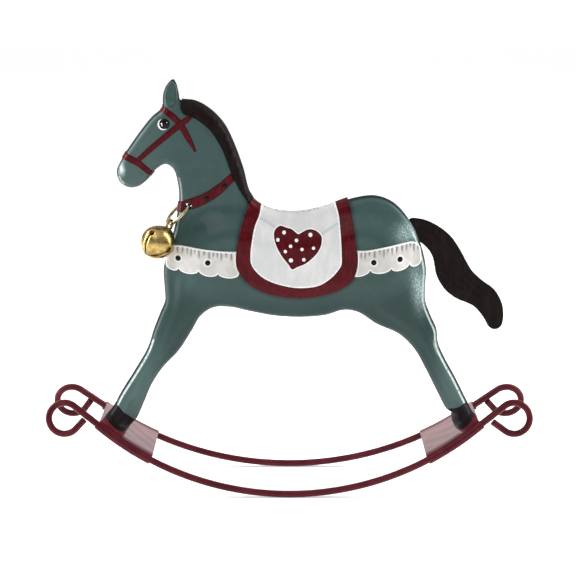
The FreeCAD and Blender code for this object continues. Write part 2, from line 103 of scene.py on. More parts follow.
# ---- Rockers and foot plates ----
WIRE_R = 1.1
ROCKER_RADIUS = 98.0          # wire centre line, in the plane of the rocker
RISE_ANGLE = math.radians(38)
LOOP_RADIUS = 5.1
TRACK_WIDTH = 33.0
LEAN = math.radians(12.9)
TIP_SLOPES = {"left": (47.0, 36.0), "right": (55.0, 49.0)}
TIP_GAP = 0.12
CUT_BEVEL = 0.3               # worn edge of a cut wire end, as a share of its radius
PLATE_SHEET = 0.45
PLATE_X = (45.5, 63.0)
PLATE_RISE = 0.06
PLATE_FLAT_HALF = 11.0        # the strip is bare this far to each side, and rolled round the wires beyond
PLATE_BOW = 0.04              # how far the strip's hand-bent face strays
PLATE_BOW_HALF = 9.0
PLATE_WORN_EDGE = 0.12
WRAP_GAP = 0.03               # between the rolled edge and the wire in it
WRAP_TURN = math.radians(205)
WRAP_POINTS = 26
STRIP_POINTS = 18


def box_mm(node):
    low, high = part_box(node)
    return np.array(low) / MM, np.array(high) / MM


LOOP_CENTRE_X = box_mm("rocker_wire_left")[1][0] - LOOP_RADIUS - WIRE_R

# ---- Jump ring and bell ----
RING_WIRE_R = 0.56
RING_CUT_ANGLE = math.radians(196)      # where the ring's two ends meet
RING_CUT = 0.05               # the gap between them, in radians
WIRE_SIDES = 14
BELL_R = 5.75                 # at the ends of its three axes
BELL_POWER = 1.8              # 2 would be a ball, and 1 has eight flat faces
BELL_WALL = 0.45
BELL_DROP = 0.45              # the petals hang this far below the middle of their CAD place
BELL_TO_LOOP = 6.85           # from that middle to the middle of the loop
BELL_SLOT_HALF = 0.3
BELL_HOLE_R = 1.05
BELL_HOLE_ANGLE = math.radians(86)
BELL_CAP_ANGLE = math.radians(152)
BELL_LIP_SINK = 0.14
BELL_TURN = math.radians(53.5)          # the first slot's direction, from the way of the ring's wire
BELL_SWAY = (-0.145, 0.105, 0.045)      # how the petals lean off the line that they hang on
BELL_LOOP_TURN = math.radians(40)
BELL_CAP_SIDES = 40
BELL_CAP_INSIDE = -BELL_WALL - 0.05
# Angle from the low pole and height over the petals, from the inner face round to the outer one.
BELL_CAP_ROWS = [
    (3.1, BELL_CAP_INSIDE), (2.9, BELL_CAP_INSIDE), (BELL_CAP_ANGLE + 0.08, BELL_CAP_INSIDE),
    (BELL_CAP_ANGLE - 0.06, BELL_CAP_INSIDE), (BELL_CAP_ANGLE - 0.06, -0.02), (BELL_CAP_ANGLE, 0.06),
    (BELL_CAP_ANGLE + 0.08, 0.16), (2.9, 0.2), (3.02, 0.2), (3.1, 0.2),
]
BELL_LOOP_RADIUS = 1.65
BELL_LOOP_WIRE_R = 0.42

# ---- Outlines, as x and z pairs ----
HORSE = [
    (-40.9, 126.3), (-44.5, 123), (-50, 116), (-54.3, 109.5), (-56, 105.5), (-55, 102), (-52, 100.2),
    (-49, 100.6), (-46, 102.8), (-43, 106.3), (-40, 107.8), (-37.6, 106.2), (-36.3, 102), (-35.9, 97),
    (-36.5, 92), (-37.8, 86), (-40, 79), (-41.3, 73), (-41.1, 67), (-41, 62.5), (-42.6, 58.5),
    (-44.8, 53), (-47, 46.5), (-51.3, 39), (-56, 31.5), (-58.6, 26.7), (-61.2, 23.3), (-64, 19),
    (-66, 15), (-62, 12), (-56, 13), (-54.6, 17.2), (-53.3, 19.7), (-50.8, 22.6), (-49.5, 25.4),
    (-48.3, 28.2), (-45.9, 33.8), (-42, 39.8), (-36.6, 45.6), (-32.3, 52.3), (-29.2, 57.4), (-25, 60.2),
    (-19.5, 60.4), (-13, 59), (-5, 57.5), (4, 57), (12, 57.7), (18, 59.4), (22.5, 58.7), (28.8, 54.7),
    (36.3, 51.2), (41.5, 46), (45.2, 39.5), (50, 30), (52.4, 25.6), (54.1, 24.4), (54, 22.8),
    (55.2, 19.4), (55.6, 13), (60, 11), (65.5, 14), (64, 19.6), (62, 23), (59.4, 28), (54.9, 37),
    (51.7, 42.8), (49.3, 48.3), (48.7, 53), (46.8, 57.3), (44.9, 62.5), (44.8, 68), (44.9, 73.5),
    (43, 81.5), (39.5, 89), (34, 95.2), (28, 97.5), (21, 96.7), (11, 93.3), (2, 91.7), (-6, 92.6),
    (-11.5, 95.5), (-13.4, 98.9), (-15.6, 106.4), (-18.6, 114.7), (-21.5, 120.5), (-25.6, 125),
    (-30.3, 127.7), (-33.7, 128.2), (-35.2, 128.7), (-35.6, 130.8), (-36.4, 134), (-37.3, 135.2),
    (-38.4, 134.5), (-39.7, 132.8), (-40.5, 130.6), (-40.7, 128.6),
]
EAR_HOLLOW = 0.16
EAR_LEAF = [(-37.3, 134.5), (-36.2, 132.9), (-35.9, 130.4), (-36, 128.3), (-36.7, 127), (-38.2, 126.3),
            (-39.4, 127), (-39.9, 128.9), (-39.8, 131.3), (-38.9, 133.4)]
BARREL = [
    (-33.5, 84), (-35.6, 75), (-34.5, 66), (-28.5, 64), (-14, 63.2), (4, 61.6), (18, 63.5), (30, 63),
    (39, 68), (40.3, 77), (34.5, 88), (25, 92.3), (10, 89.4), (-6, 89), (-18, 92), (-28, 90.5),
]
BARREL_GROWTH = 3.2           # the soft barrel starts this far outside its flat
FRONT_LEG = [
    (-37, 74), (-38.8, 62), (-42, 53), (-45.5, 44.5), (-50.5, 36.5), (-55, 29.5), (-59, 23), (-62, 16),
    (-58, 14), (-53.5, 22), (-48.5, 31), (-44.6, 38.6), (-39.5, 45.5), (-34.5, 53.5), (-29.5, 61),
    (-28, 70), (-32, 76),
]
HIND_LEG = [
    (25, 70), (27.5, 60), (35, 54.5), (42.5, 48), (47, 40), (51.6, 30.5), (55, 20), (58, 14), (62, 18),
    (58.4, 27.5), (54, 36.5), (50.3, 43.5), (47.6, 51.5), (44, 59), (43, 70), (38, 78), (30, 78),
]
MANE_OUTER = [(-9.5, 95.4), (-12.6, 98.5), (-14.9, 106.7), (-17.9, 115), (-20.9, 121), (-25.2, 125.6),
              (-30, 128.4), (-34.6, 129)]
MANE_INNER = [(-35, 127.2), (-34.9, 126), (-33.9, 124.4), (-31.5, 123.5), (-29.6, 122.5), (-25.4, 119),
              (-21.6, 112.8), (-18.8, 105.4), (-15.9, 99.5), (-12.7, 95.2), (-10.4, 93.4)]
CLOTH_EDGE = [(-9.5, 100.5), (-12.6, 96), (-13.9, 93), (-15.4, 88.7), (-16.6, 83.4), (-17.2, 77),
              (-16.6, 74.2), (-13.1, 69.6), (-7.9, 66.5), (0, 64.7), (8.3, 65), (15.8, 67.2), (20.5, 71),
              (22.1, 76.7), (21.3, 84), (20.2, 91.4), (19.5, 94.8), (17.6, 101)]
CLOTH_FIELD = [(-7.6, 99), (-8.9, 95.2), (-9.8, 91.6), (-11.2, 88.1), (-12, 84.1), (-12.5, 80.2),
               (-12.4, 76.6), (-11.3, 74.5), (-8.9, 72.1), (-5.6, 70.3), (-2.4, 69.3), (1.8, 68.5),
               (6.1, 68.5), (9.6, 69.2), (12.4, 70.8), (14.9, 73.1), (16.8, 76), (16.9, 79.2),
               (16.7, 83.5), (16.4, 88), (16, 91.7), (15.2, 94.6), (13.6, 98.5)]
HEART = [(2.9, 85.9), (4.4, 86.6), (6, 87.3), (7.6, 87.3), (9.2, 86.6), (10.4, 85.2), (10.4, 83.2),
         (9.6, 80.9), (7.6, 78.4), (5.1, 76.4), (2.7, 75.4), (0.9, 74.6), (-0.3, 76.2), (-2.2, 78.6),
         (-3.8, 81.4), (-4.8, 84.2), (-4.9, 86.6), (-4, 87.9), (-2.8, 88.4), (-1.1, 87.9), (0.9, 87.3),
         (2.2, 86.3)]
HEART_DOTS = [(-1.7, 86.4, 0.62), (6.8, 85.7, 0.68), (-3.7, 84.2, 0.6), (2.3, 84, 0.6), (0.4, 82.2, 0.55),
              (4.1, 81.2, 0.55), (7.8, 81.6, 0.55), (-1.3, 80.5, 0.58), (0.5, 77.6, 0.72), (4.7, 77.8, 0.6)]
CREASE_DEPTH = 0.16
CREASE_HALF = 0.55
CREASES = [[(-10.4, 91.3), (-7.6, 89.8), (-4.6, 88)], [(10.5, 85.9), (13, 87.6), (16.5, 89.8)]]
BREAST_TOP = [(-40.7, 81.3), (-36.8, 81.8), (-29.5, 81.2), (-23, 80.5), (-17.9, 80.3), (-15.5, 80.4)]
BREAST_LOBES = [(-40.4, 75.4), (-36.1, 74.2), (-29.4, 73.9), (-23.1, 73), (-16.3, 72.7)]
RUMP_TOP = [(20, 80.8), (25.1, 80.7), (30.9, 81.7), (36.8, 82.6), (40.4, 82.9), (42.5, 81.3), (43.1, 77)]
RUMP_LOBES = [(20, 72.8), (26.2, 74.1), (33, 74.7), (39.1, 75.8), (42.9, 76.4)]
GATHER_STEP = 1.45
GATHER_LENGTH = 3.0           # of the middling ones, below the lace's top edge
GATHER_DEPTH = 0.3
LACE_BEAD = 0.12              # height of the rolled line inside the cut edge
LOBE_DROP = 1.35              # how far a scallop hangs below the line between its two ends
STRAP_TOP = [(-38.5, 94.6), (-35.8, 95.7), (-33.3, 96.6), (-27.9, 98.6), (-23, 101.7), (-18.4, 105.7)]
STRAP_BOTTOM = [(-15.5, 104.5), (-17.5, 102.9), (-22.7, 98), (-27.9, 94.8), (-32.5, 93.2), (-38.5, 91.9)]
BREAST_STUDS = [(-36.2, 77.6), (-26.4, 76.7)]
RUMP_STUDS = [(27.3, 76.8), (35.9, 77.7)]
STRAP_STUDS = [(-26.8, 97.1), (-20.9, 101.2)]
LACE_STUD_R = 0.95
LACE_STUD_RISE = 0.45
LACE_STUD_SINK = 0.12
STRAP_STUD_R = 0.85
STRAP_STUD_RISE = 0.4
STRAP_STUD_SINK = 0.08
NECK_HOLE = (-32.76, 94.3)
NECK_HOLE_R = 1.15
STRAP_HOLE_R = 1.3
BRIDLE_STROKES = [
    ([(-41.6, 126.6), (-38, 124), (-35, 121), (-32.5, 116.7), (-30.2, 112.2)], [1.9, 2.1, 2.3, 2, 0.9]),
    ([(-30.8, 123.9), (-33, 122.4), (-35, 121), (-39.9, 117), (-44.8, 113), (-49, 109.2)],
     [0.7, 1.9, 2.1, 1.9, 1.8, 1.6]),
    ([(-54, 111.2), (-51, 109.8), (-48.4, 108.3), (-44.6, 105), (-43.4, 103.8)], [2.3, 2.2, 2, 1.8, 1.3]),
]
EYE = (-40.1, 121.2)
EYE_R = 1.75
EYE_RISE = 0.55
EYE_WHITE = (EYE[0] - 0.38, EYE[1] - 0.2, EYE_R + 0.06)
# White dots on the eye that stand for glints: painted highlights.
EYE_GLINTS = [(-0.8, 0.1, 0.3), (-0.66, -0.42, 0.24), (0.85, 0.5, 0.16)]
TAIL = [
    (37.5, 87), (39.7, 90), (41.7, 90), (44.3, 89.5), (47.3, 88.2), (50.3, 86.3), (52.9, 84), (55.1, 81),
    (57, 77.8), (58.5, 75), (60, 72.6), (62.1, 70.5), (64.4, 68.6), (66.2, 67.4), (67.8, 65.9), (69.1, 63.9),
    (70.2, 61.5), (70.7, 58.8), (70.7, 56.1), (70.1, 53.9), (68.9, 52.9), (67.3, 52.8), (65.9, 53.7),
    (64.7, 55.8), (63, 58.3), (61, 60.4), (58.6, 61.7), (56, 62.7), (53.6, 64.1), (51.3, 66.1), (49.4, 68.8),
    (48.2, 71.5), (47.7, 74), (47.2, 76.5), (46, 79), (44.5, 80.7), (43, 81.9), (39, 83),
]
TAIL_HALF = 0.8
TAIL_HAIR = 0.06
HOOF_LINES = [((-57.7, 28.1), (-52.6, 23.5)), ((52.4, 25.9), (59.2, 28.6))]
# Rump patches of crazed enamel with a painted highlight over them.
RUMP_SHEEN_PATCHES = [((38.6, 85.9), 3.4, 3.2), ((42.4, 67.5), 2.2, 6.5, 0.12)]      # patches, as patch() takes them
# Painted highlight spot on the muzzle.
MUZZLE_HIGHLIGHT = ((-54, 106.4), 0.7, 1.5)
BREAST_SHADE = ((-27, 87.5), 9, 5.5)

# ---- Camera and floor ----
CAMERA_LENS = 106.87
CAMERA_SENSOR = 36
CAMERA_PLACE = (-0.00043, -0.5509, 0.18375)
CAMERA_TILT = math.radians(78)
FLOOR_HALF = 6.0
LAMP_AIM = (0, 0, 0.065)


# ---- Flat geometry ----
def curve_through(points, closed=True, step=CURVE_STEP):
    """Smooth curve through the points, as a row of points about a step apart."""
    p = np.array(points, float)
    if closed:
        p = np.vstack([p[-1], p, p[:2]])
    else:
        p = np.vstack([2 * p[0] - p[1], p, 2 * p[-1] - p[-2]])
    gap = np.sqrt(np.linalg.norm(np.diff(p, axis=0), axis=1))
    knot = np.concatenate([[0], np.cumsum(gap)])

    def between(t, a, b, first, last):
        return ((knot[b] - t) * first + (t - knot[a]) * last) / (knot[b] - knot[a])

    row = []
    for i in range(1, len(p) - 2):
        count = max(2, round(gap[i] ** 2 / step))
        t = np.linspace(knot[i], knot[i + 1], count, endpoint=False)[:, None]
        near = [between(t, i + k - 1, i + k, p[i + k - 1], p[i + k]) for k in range(3)]
        mid = [between(t, i + k - 1, i + k + 1, near[k], near[k + 1]) for k in range(2)]
        row.append(between(t, i, i + 1, mid[0], mid[1]))
    if not closed:
        row.append(p[-2:-1])
    return np.vstack(row)


def closed_loop(*rows):
    """One closed loop from rows of points, with no doubled points and no long gaps."""
    corners = np.vstack(rows)
    gaps = np.linalg.norm(np.roll(corners, -1, axis=0) - corners, axis=1)
    corners = corners[gaps > 0.02]
    loop = []
    for first, last in zip(corners, np.roll(corners, -1, axis=0)):
        count = math.ceil(np.linalg.norm(last - first) / (CURVE_STEP * 1.2))
        loop.append(first + (last - first) * np.linspace(0, 1, count, endpoint=False)[:, None])
    return np.vstack(loop)


def edge_distance(xz, loop):
    """Distance from each point to a closed loop of close-set points, positive inside it."""
    tree = KDTree(len(loop))
    for i, (x, z) in enumerate(loop.tolist()):
        tree.insert((x, z, 0), i)
    tree.balance()
    near = np.array([tree.find((x, z, 0))[1] for x, z in xz.tolist()], int)
    ahead, behind = np.roll(loop, -1, axis=0), np.roll(loop, 1, axis=0)
    turning = (loop[:, 0] * ahead[:, 1] - ahead[:, 0] * loop[:, 1]).sum()
    away = xz - loop[near]
    reach = np.linalg.norm(away, axis=1)
    outward = np.zeros_like(away)
    sides = []
    for first, last in ((loop, ahead), (behind, loop)):
        along = (last - first)[near]
        along /= np.linalg.norm(along, axis=1)[:, None]
        normal = np.stack([along[:, 1], -along[:, 0]], 1) * math.copysign(1, turning)
        outward += normal
        sides.append((along, normal))
    side = (away * outward).sum(1)
    for way, (along, normal) in zip((1, -1), sides):
        beside = (away * along).sum(1) * way > 0
        off = (away * normal).sum(1)
        closer = beside & (np.abs(off) < reach)
        reach = np.where(closer, np.abs(off), reach)
        side = np.where(closer, off, side)
    return np.where(side < 0, reach, -reach)


def moved_out(loop, amount):
    """A closed loop moved outwards by amount, without the stretches that would fold over."""
    along = np.roll(loop, -1, axis=0) - np.roll(loop, 1, axis=0)
    along /= np.linalg.norm(along, axis=1)[:, None]
    area = (loop[:, 0] * np.roll(loop[:, 1], -1) - np.roll(loop[:, 0], -1) * loop[:, 1]).sum()
    out = np.stack([along[:, 1], -along[:, 0]], 1) * math.copysign(1, area)
    moved = loop + out * amount
    return moved[np.abs(edge_distance(moved, loop) + amount) < 0.02]


def unit(v):
    return np.array(v, float) / np.linalg.norm(v)


def ease(t):
    t = np.clip(t, 0, 1)
    return t * t * (3 - 2 * t)


def quarter_round(t):
    t = np.clip(t, 0, 1)
    return np.sqrt(1 - (1 - t) ** 2)


HORSE_LOOP = curve_through(HORSE)
BARREL_LOOP = curve_through(BARREL)
FRONT_LEG_LOOP = curve_through(FRONT_LEG)
HIND_LEG_LOOP = curve_through(HIND_LEG)


class Region:
    """Flat area inside some loops and outside others.

    Where a piece wraps over the horse's own outline, wrap is how far outside that outline it reaches. A floor
    gives the height that the area stops at for each x."""

    def __init__(self, inside=(), outside=(), wrap=None, floor=None):
        self.inside = list(inside)
        self.outside = list(outside)
        self.wrap = wrap
        self.floor = floor

    def reach(self, xz):
        """Distance to the nearest cut edge."""
        found = [edge_distance(xz, loop) for loop in self.inside]
        found += [-edge_distance(xz, loop) for loop in self.outside]
        return np.min(found, axis=0) if found else np.full(len(xz), 99.0)

    def holds(self, xz):
        held = self.reach(xz) > 0
        if self.wrap is not None:
            held &= edge_distance(xz, HORSE_LOOP) + self.wrap > 0
        if self.floor is not None:
            held &= xz[:, 1] > self.floor(xz[:, 0])
        return held

    def tiles(self, rings, wrap_rings, grid, extra=()):
        """Points and triangles: the loops, rows of points beside them, and an even grid elsewhere."""
        loops = self.inside + self.outside
        if self.wrap is not None:
            loops = loops + [moved_out(HORSE_LOOP, self.wrap)]
        if self.floor is not None:
            span = np.arange(-70, 70, CURVE_STEP)
            loops = loops + [np.vstack([np.stack([span, self.floor(span)], 1), [(70, -5), (-70, -5)]])]
        free = [np.array(extra, float).reshape(-1, 2)]
        for loop in self.inside + self.outside:
            for d in rings:
                free.append(moved_out(loop, d))
                free.append(moved_out(loop, -d))
        if self.wrap is not None:
            free += [moved_out(HORSE_LOOP, self.wrap - d) for d in wrap_rings]
        corners = np.vstack(self.inside) if self.inside else HORSE_LOOP
        low, high = corners.min(0), corners.max(0)
        x, z = np.meshgrid(np.arange(low[0], high[0], grid), np.arange(low[1], high[1], grid))
        x[::2] += grid / 2
        even = np.stack([x.ravel(), z.ravel()], 1)
        clear = self.reach(even) > rings[-1] + grid * 0.6
        if self.wrap is not None:
            clear &= edge_distance(even, HORSE_LOOP) + self.wrap > wrap_rings[-1] + grid * 0.6
        free.append(even[clear])
        free = np.vstack(free)
        free = free[self.holds(free)]
        points, edges = [], []
        for loop in loops:
            first = len(points)
            points += list(loop)
            edges += [(first + i, first + (i + 1) % len(loop)) for i in range(len(loop))]
        points += list(free)
        made = delaunay_2d_cdt([Vector(p) for p in points], edges, [], 0, 1e-5)
        flat = np.array([tuple(v) for v in made[0]])
        tiles = np.array(made[2])
        middle = flat[tiles].mean(1)
        tiles = tiles[self.holds(middle)]
        used, tiles = np.unique(tiles, return_inverse=True)
        return flat[used], tiles.reshape(-1, 3)


# ---- The horse's surface ----
def plate_circle():
    """Centre height and radius of the circle that the foot plates follow, in the side view."""
    spots = []
    for x in PLATE_X:
        s = ROCKER_RADIUS - math.sqrt(ROCKER_RADIUS ** 2 - x * x)
        spots.append((x, WIRE_R + s * math.cos(LEAN)))
    (x0, z0), (x1, z1) = spots
    centre = ((x1 * x1 + z1 * z1) - (x0 * x0 + z0 * z0)) / (2 * (z1 - z0))
    return centre, math.hypot(x0, centre - z0)


PLATE_CENTRE_Z, PLATE_CIRCLE_R = plate_circle()
PLATE_TOP = WIRE_R + PLATE_RISE + PLATE_SHEET


def plate_top_z(x):
    r = PLATE_CIRCLE_R - PLATE_TOP
    return PLATE_CENTRE_Z - np.sqrt(np.maximum(r * r - x * x, 1))


def surface(xz, lift=0.0):
    """How far the left half stands out from the seam plane, for a layer that lies lift above the tin."""
    x, z = xz[:, 0], xz[:, 1]
    edge = edge_distance(xz, HORSE_LOOP) + lift
    depth = HEAD_DEPTH + (EAR_DEPTH - HEAD_DEPTH) * ease((z - EAR_ROOT_Z) / (EAR_PART_Z + 2 - EAR_ROOT_Z))
    barrel = BARREL_RISE * ease((edge_distance(xz, BARREL_LOOP) + BARREL_GROWTH) / BARREL_SOFT)
    legs = [LEG_RISE * ease(edge_distance(xz, loop) / LEG_SOFT) for loop in (FRONT_LEG_LOOP, HIND_LEG_LOOP)]
    raised = (barrel ** 3 + legs[0] ** 3 + legs[1] ** 3) ** (1 / 3)
    above = np.maximum(z - plate_top_z(x), 0)
    foot = FOOT_RISE * np.exp(-above / FOOT_SOFT) * ((np.abs(x) > 50) & (z < 35))
    return quarter_round(edge / EDGE_ROUND) * (depth + raised + foot + lift)


def seam(xz):
    """Where the half stops: just short of the middle plane, and further out between the ears."""
    return SEAM_GAP + (EAR_APART - SEAM_GAP) * ease((xz[:, 1] - EAR_PART_Z + 2) / 2)


# ---- Meshes ----
def mirrored_name(name):
    return name.replace("left", "right")


def add_mesh(name, points, faces, finish, body="horse", stands_for=(), slot=None, masks=None, sharp=40):
    """One piece of the object, from points in millimetres."""
    mesh = bpy.data.meshes.new(name)
    mesh.from_pydata((np.asarray(points) * MM).tolist(), [], [list(map(int, f)) for f in faces])
    mesh.validate()
    mesh.polygons.foreach_set("use_smooth", [True] * len(mesh.polygons))
    mesh.set_sharp_from_angle(angle=math.radians(sharp))
    for key, values in (masks or {}).items():
        mesh.attributes.new(key, "FLOAT", "POINT").data.foreach_set("value", np.asarray(values, np.float32))
    piece = bpy.data.objects.new(name, mesh)
    bpy.context.scene.collection.objects.link(piece)
    mesh.materials.append(finish)
    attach(piece, body)
    if stands_for:
        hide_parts(*stands_for)
    return piece


def both_sides(name, points, faces, finish, stands_for=(), **more):
    """The left piece and its mirror image on the right."""
    left = add_mesh(name, points, faces, finish, stands_for=stands_for, **more)
    turned = np.asarray(points) * (1, -1, 1)
    right = add_mesh(mirrored_name(name), turned, [f[::-1] for f in faces], finish,
                     stands_for=[mirrored_name(node) for node in stands_for], **more)
    return left, right


def skinned(flat, tiles, outer, inner):
    """Faces of a solid whose two skins share the same flat tiles, closed round every edge of them."""
    count = len(flat)
    a, b, c = (flat[tiles[:, i]] for i in range(3))
    first, last = b - a, c - a
    turning = first[:, 0] * last[:, 1] - first[:, 1] * last[:, 0]
    tiles = np.where((turning > 0)[:, None], tiles, tiles[:, ::-1])
    faces = [tuple(t) for t in tiles.tolist()]
    edges = {(t[i], t[i - 2]) for t in faces for i in range(3)}
    rim = sorted(e for e in edges if (e[1], e[0]) not in edges)
    faces += [tuple(v + count for v in t[::-1]) for t in faces]
    faces += [(b, a, a + count, b + count) for a, b in rim]
    return np.vstack([outer, inner]), faces


def closed_sheet(flat, tiles, front, back, back_flat=None):
    """Solid between two depths over the same tiles."""
    back_flat = flat if back_flat is None else back_flat
    outer = np.stack([flat[:, 0], -front, flat[:, 1]], 1)
    inner = np.stack([back_flat[:, 0], -back, back_flat[:, 1]], 1)
    return skinned(flat, tiles, outer, inner)


RINGS = (0.07, 0.18, 0.34, 0.55, 0.85)
WRAP_RINGS = (0.02, 0.08, 0.18, 0.32, 0.5, 0.75, 1.05, 1.4, 1.8, 2.3)


def edge_roll(reach, radius=0.3):
    """0 at a trim's cut edge, 1 once it has rolled up to its full thickness."""
    return quarter_round(reach / radius)


def trim(name, region, layer, finish, grid=0.8, shape=None, roll=0.3, masks=None, **more):
    """A thin piece on the shell; shape adds to its thickness, from the flat points and their reach."""
    lift, sheet = layer
    flat, tiles = region.tiles(RINGS, WRAP_RINGS, grid)
    reach = region.reach(flat)
    thickness = sheet * edge_roll(reach, roll)
    if shape:
        thickness = thickness + shape(flat, reach)
    base = surface(flat, lift)
    full = surface(flat, lift + sheet)
    front = base + (full - base) * thickness / sheet
    front = np.maximum(front, SEAM_GAP)
    back = np.maximum(surface(flat, lift - UNDERCUT), SEAM_GAP)
    points, faces = closed_sheet(flat, tiles, np.maximum(front, back + 0.002), back)
    found = {"edge": np.tile(reach, 2)}
    if masks:
        found.update({key: np.tile(value, 2) for key, value in masks(flat, reach).items()})
    return both_sides(name, points, faces, finish, masks=found, **more)


def disc_loop(centre, radius, count=28):
    turn = np.linspace(0, 2 * math.pi, count, endpoint=False)
    return np.stack([centre[0] + radius * np.cos(turn), centre[1] + radius * np.sin(turn)], 1)


def stroke_loop(points, widths):
    """Outline of a brush stroke with a width at each point."""
    line = curve_through(points, closed=False)
    far = np.concatenate([[0], np.cumsum(np.linalg.norm(np.diff(line, axis=0), axis=1))])
    knots = [far[np.argmin(((line - p) ** 2).sum(1))] for p in np.array(points, float)]
    half = np.interp(far, knots, widths)[:, None] / 2
    along = np.gradient(line, axis=0)
    along /= np.linalg.norm(along, axis=1)[:, None]
    side = np.stack([-along[:, 1], along[:, 0]], 1)
    return closed_loop(line + side * half, (line - side * half)[::-1])


# ---- Shader arithmetic ----
class Value:
    """A number that changes over a surface: a shader socket with arithmetic."""

    def __init__(self, finish, socket):
        self.finish = finish
        self.socket = socket

    def __add__(self, other):
        return self.finish.math("ADD", self, other)

    def __sub__(self, other):
        return self.finish.math("SUBTRACT", self, other)

    def __rsub__(self, other):
        return self.finish.math("SUBTRACT", other, self)

    def __mul__(self, other):
        return self.finish.math("MULTIPLY", self, other)

    __radd__ = __add__

    def step(self, low, high):
        """0 below low and 1 above high, with a smooth run between; high may be the smaller one."""
        inputs = {"Value": self, "From Min": low, "From Max": high}
        node = self.finish.node("ShaderNodeMapRange", {"interpolation_type": "SMOOTHSTEP"}, inputs)
        return Value(self.finish, node.outputs[0])


class Finish:
    """A material: its shader's constants are set on the shader, and what varies is linked to it."""

    def __init__(self, name, **constants):
        self.material = bpy.data.materials.new(name)
        self.material.use_nodes = True
        self.tree = self.material.node_tree
        self.shader = self.tree.nodes["Principled BSDF"]
        self.place = self.node("ShaderNodeTexCoord").outputs["Object"]
        for key, value in constants.items():
            self.shader.inputs[key.replace("_", " ")].default_value = value

    def node(self, kind, settings=None, inputs=None):
        made = self.tree.nodes.new(kind)
        for key, value in (settings or {}).items():
            setattr(made, key, value)
        for key, value in (inputs or {}).items():
            self.feed(made.inputs[key], value)
        return made

    def feed(self, socket, value):
        value = getattr(value, "socket", value)
        if isinstance(value, bpy.types.NodeSocket):
            self.tree.links.new(value, socket)
        else:
            socket.default_value = value

    def math(self, operation, *values):
        node = self.node("ShaderNodeMath", {"operation": operation}, dict(enumerate(values)))
        return Value(self, node.outputs[0])

    def mask(self, name):
        return Value(self, self.node("ShaderNodeAttribute", {"attribute_name": name}).outputs["Fac"])

    def stretched(self, scale, turn=(0, 0, 0)):
        inputs = {"Vector": self.place, "Scale": scale, "Rotation": turn}
        return self.node("ShaderNodeMapping", None, inputs).outputs[0]

    def noise(self, size, detail=3.0, scale=(1, 1, 1), turn=(0, 0, 0)):
        """Cloudy noise whose patches are about size millimetres across."""
        inputs = {"Vector": self.stretched(scale, turn), "Scale": 1 / (size * MM), "Detail": detail}
        return Value(self, self.node("ShaderNodeTexNoise", None, inputs).outputs[0])

    def axis(self, name):
        """The surface point's x, y or z in millimetres."""
        node = self.node("ShaderNodeSeparateXYZ", None, {0: self.place})
        return Value(self, node.outputs[name]) * (1 / MM)

    def mix(self, mask, first, second):
        """first where the mask is 0 and second where it is 1; each is a colour or an earlier mix."""
        inputs = {0: mask, 6: first, 7: second}
        return self.node("ShaderNodeMix", {"data_type": "RGBA"}, inputs).outputs[2]

    def finish(self, colour, roughness, height=None, depth=0.05):
        """Links the colour, the roughness and a bump whose height is depth millimetres."""
        self.feed(self.shader.inputs["Base Color"], colour)
        self.feed(self.shader.inputs["Roughness"], roughness)
        if height is not None:
            inputs = {"Strength": 1.0, "Distance": depth * MM, "Height": height}
            bump = self.node("ShaderNodeBump", None, inputs)
            self.feed(self.shader.inputs["Normal"], bump.outputs[0])
        return self.material


def paint(red, green, blue):
    """A colour from its 0 to 255 values as the eye sees them."""
    def linear(c):
        return ((c / 255 + 0.055) / 1.055) ** 2.4 if c > 10 else c / 255 / 12.92

    return linear(red), linear(green), linear(blue), 1


# ---- Finishes ----
def below_line(finish, ends):
    """1 below the line between two points of the side view, 0 above it."""
    (x0, z0), (x1, z1) = ends
    slope = (z1 - z0) / (x1 - x0)
    wobble = (finish.noise(2.5) - 0.5) * 0.5
    height = finish.axis("Z") - finish.axis("X") * slope + wobble
    return height.step(z0 - slope * x0 + 0.06, z0 - slope * x0 - 0.06)


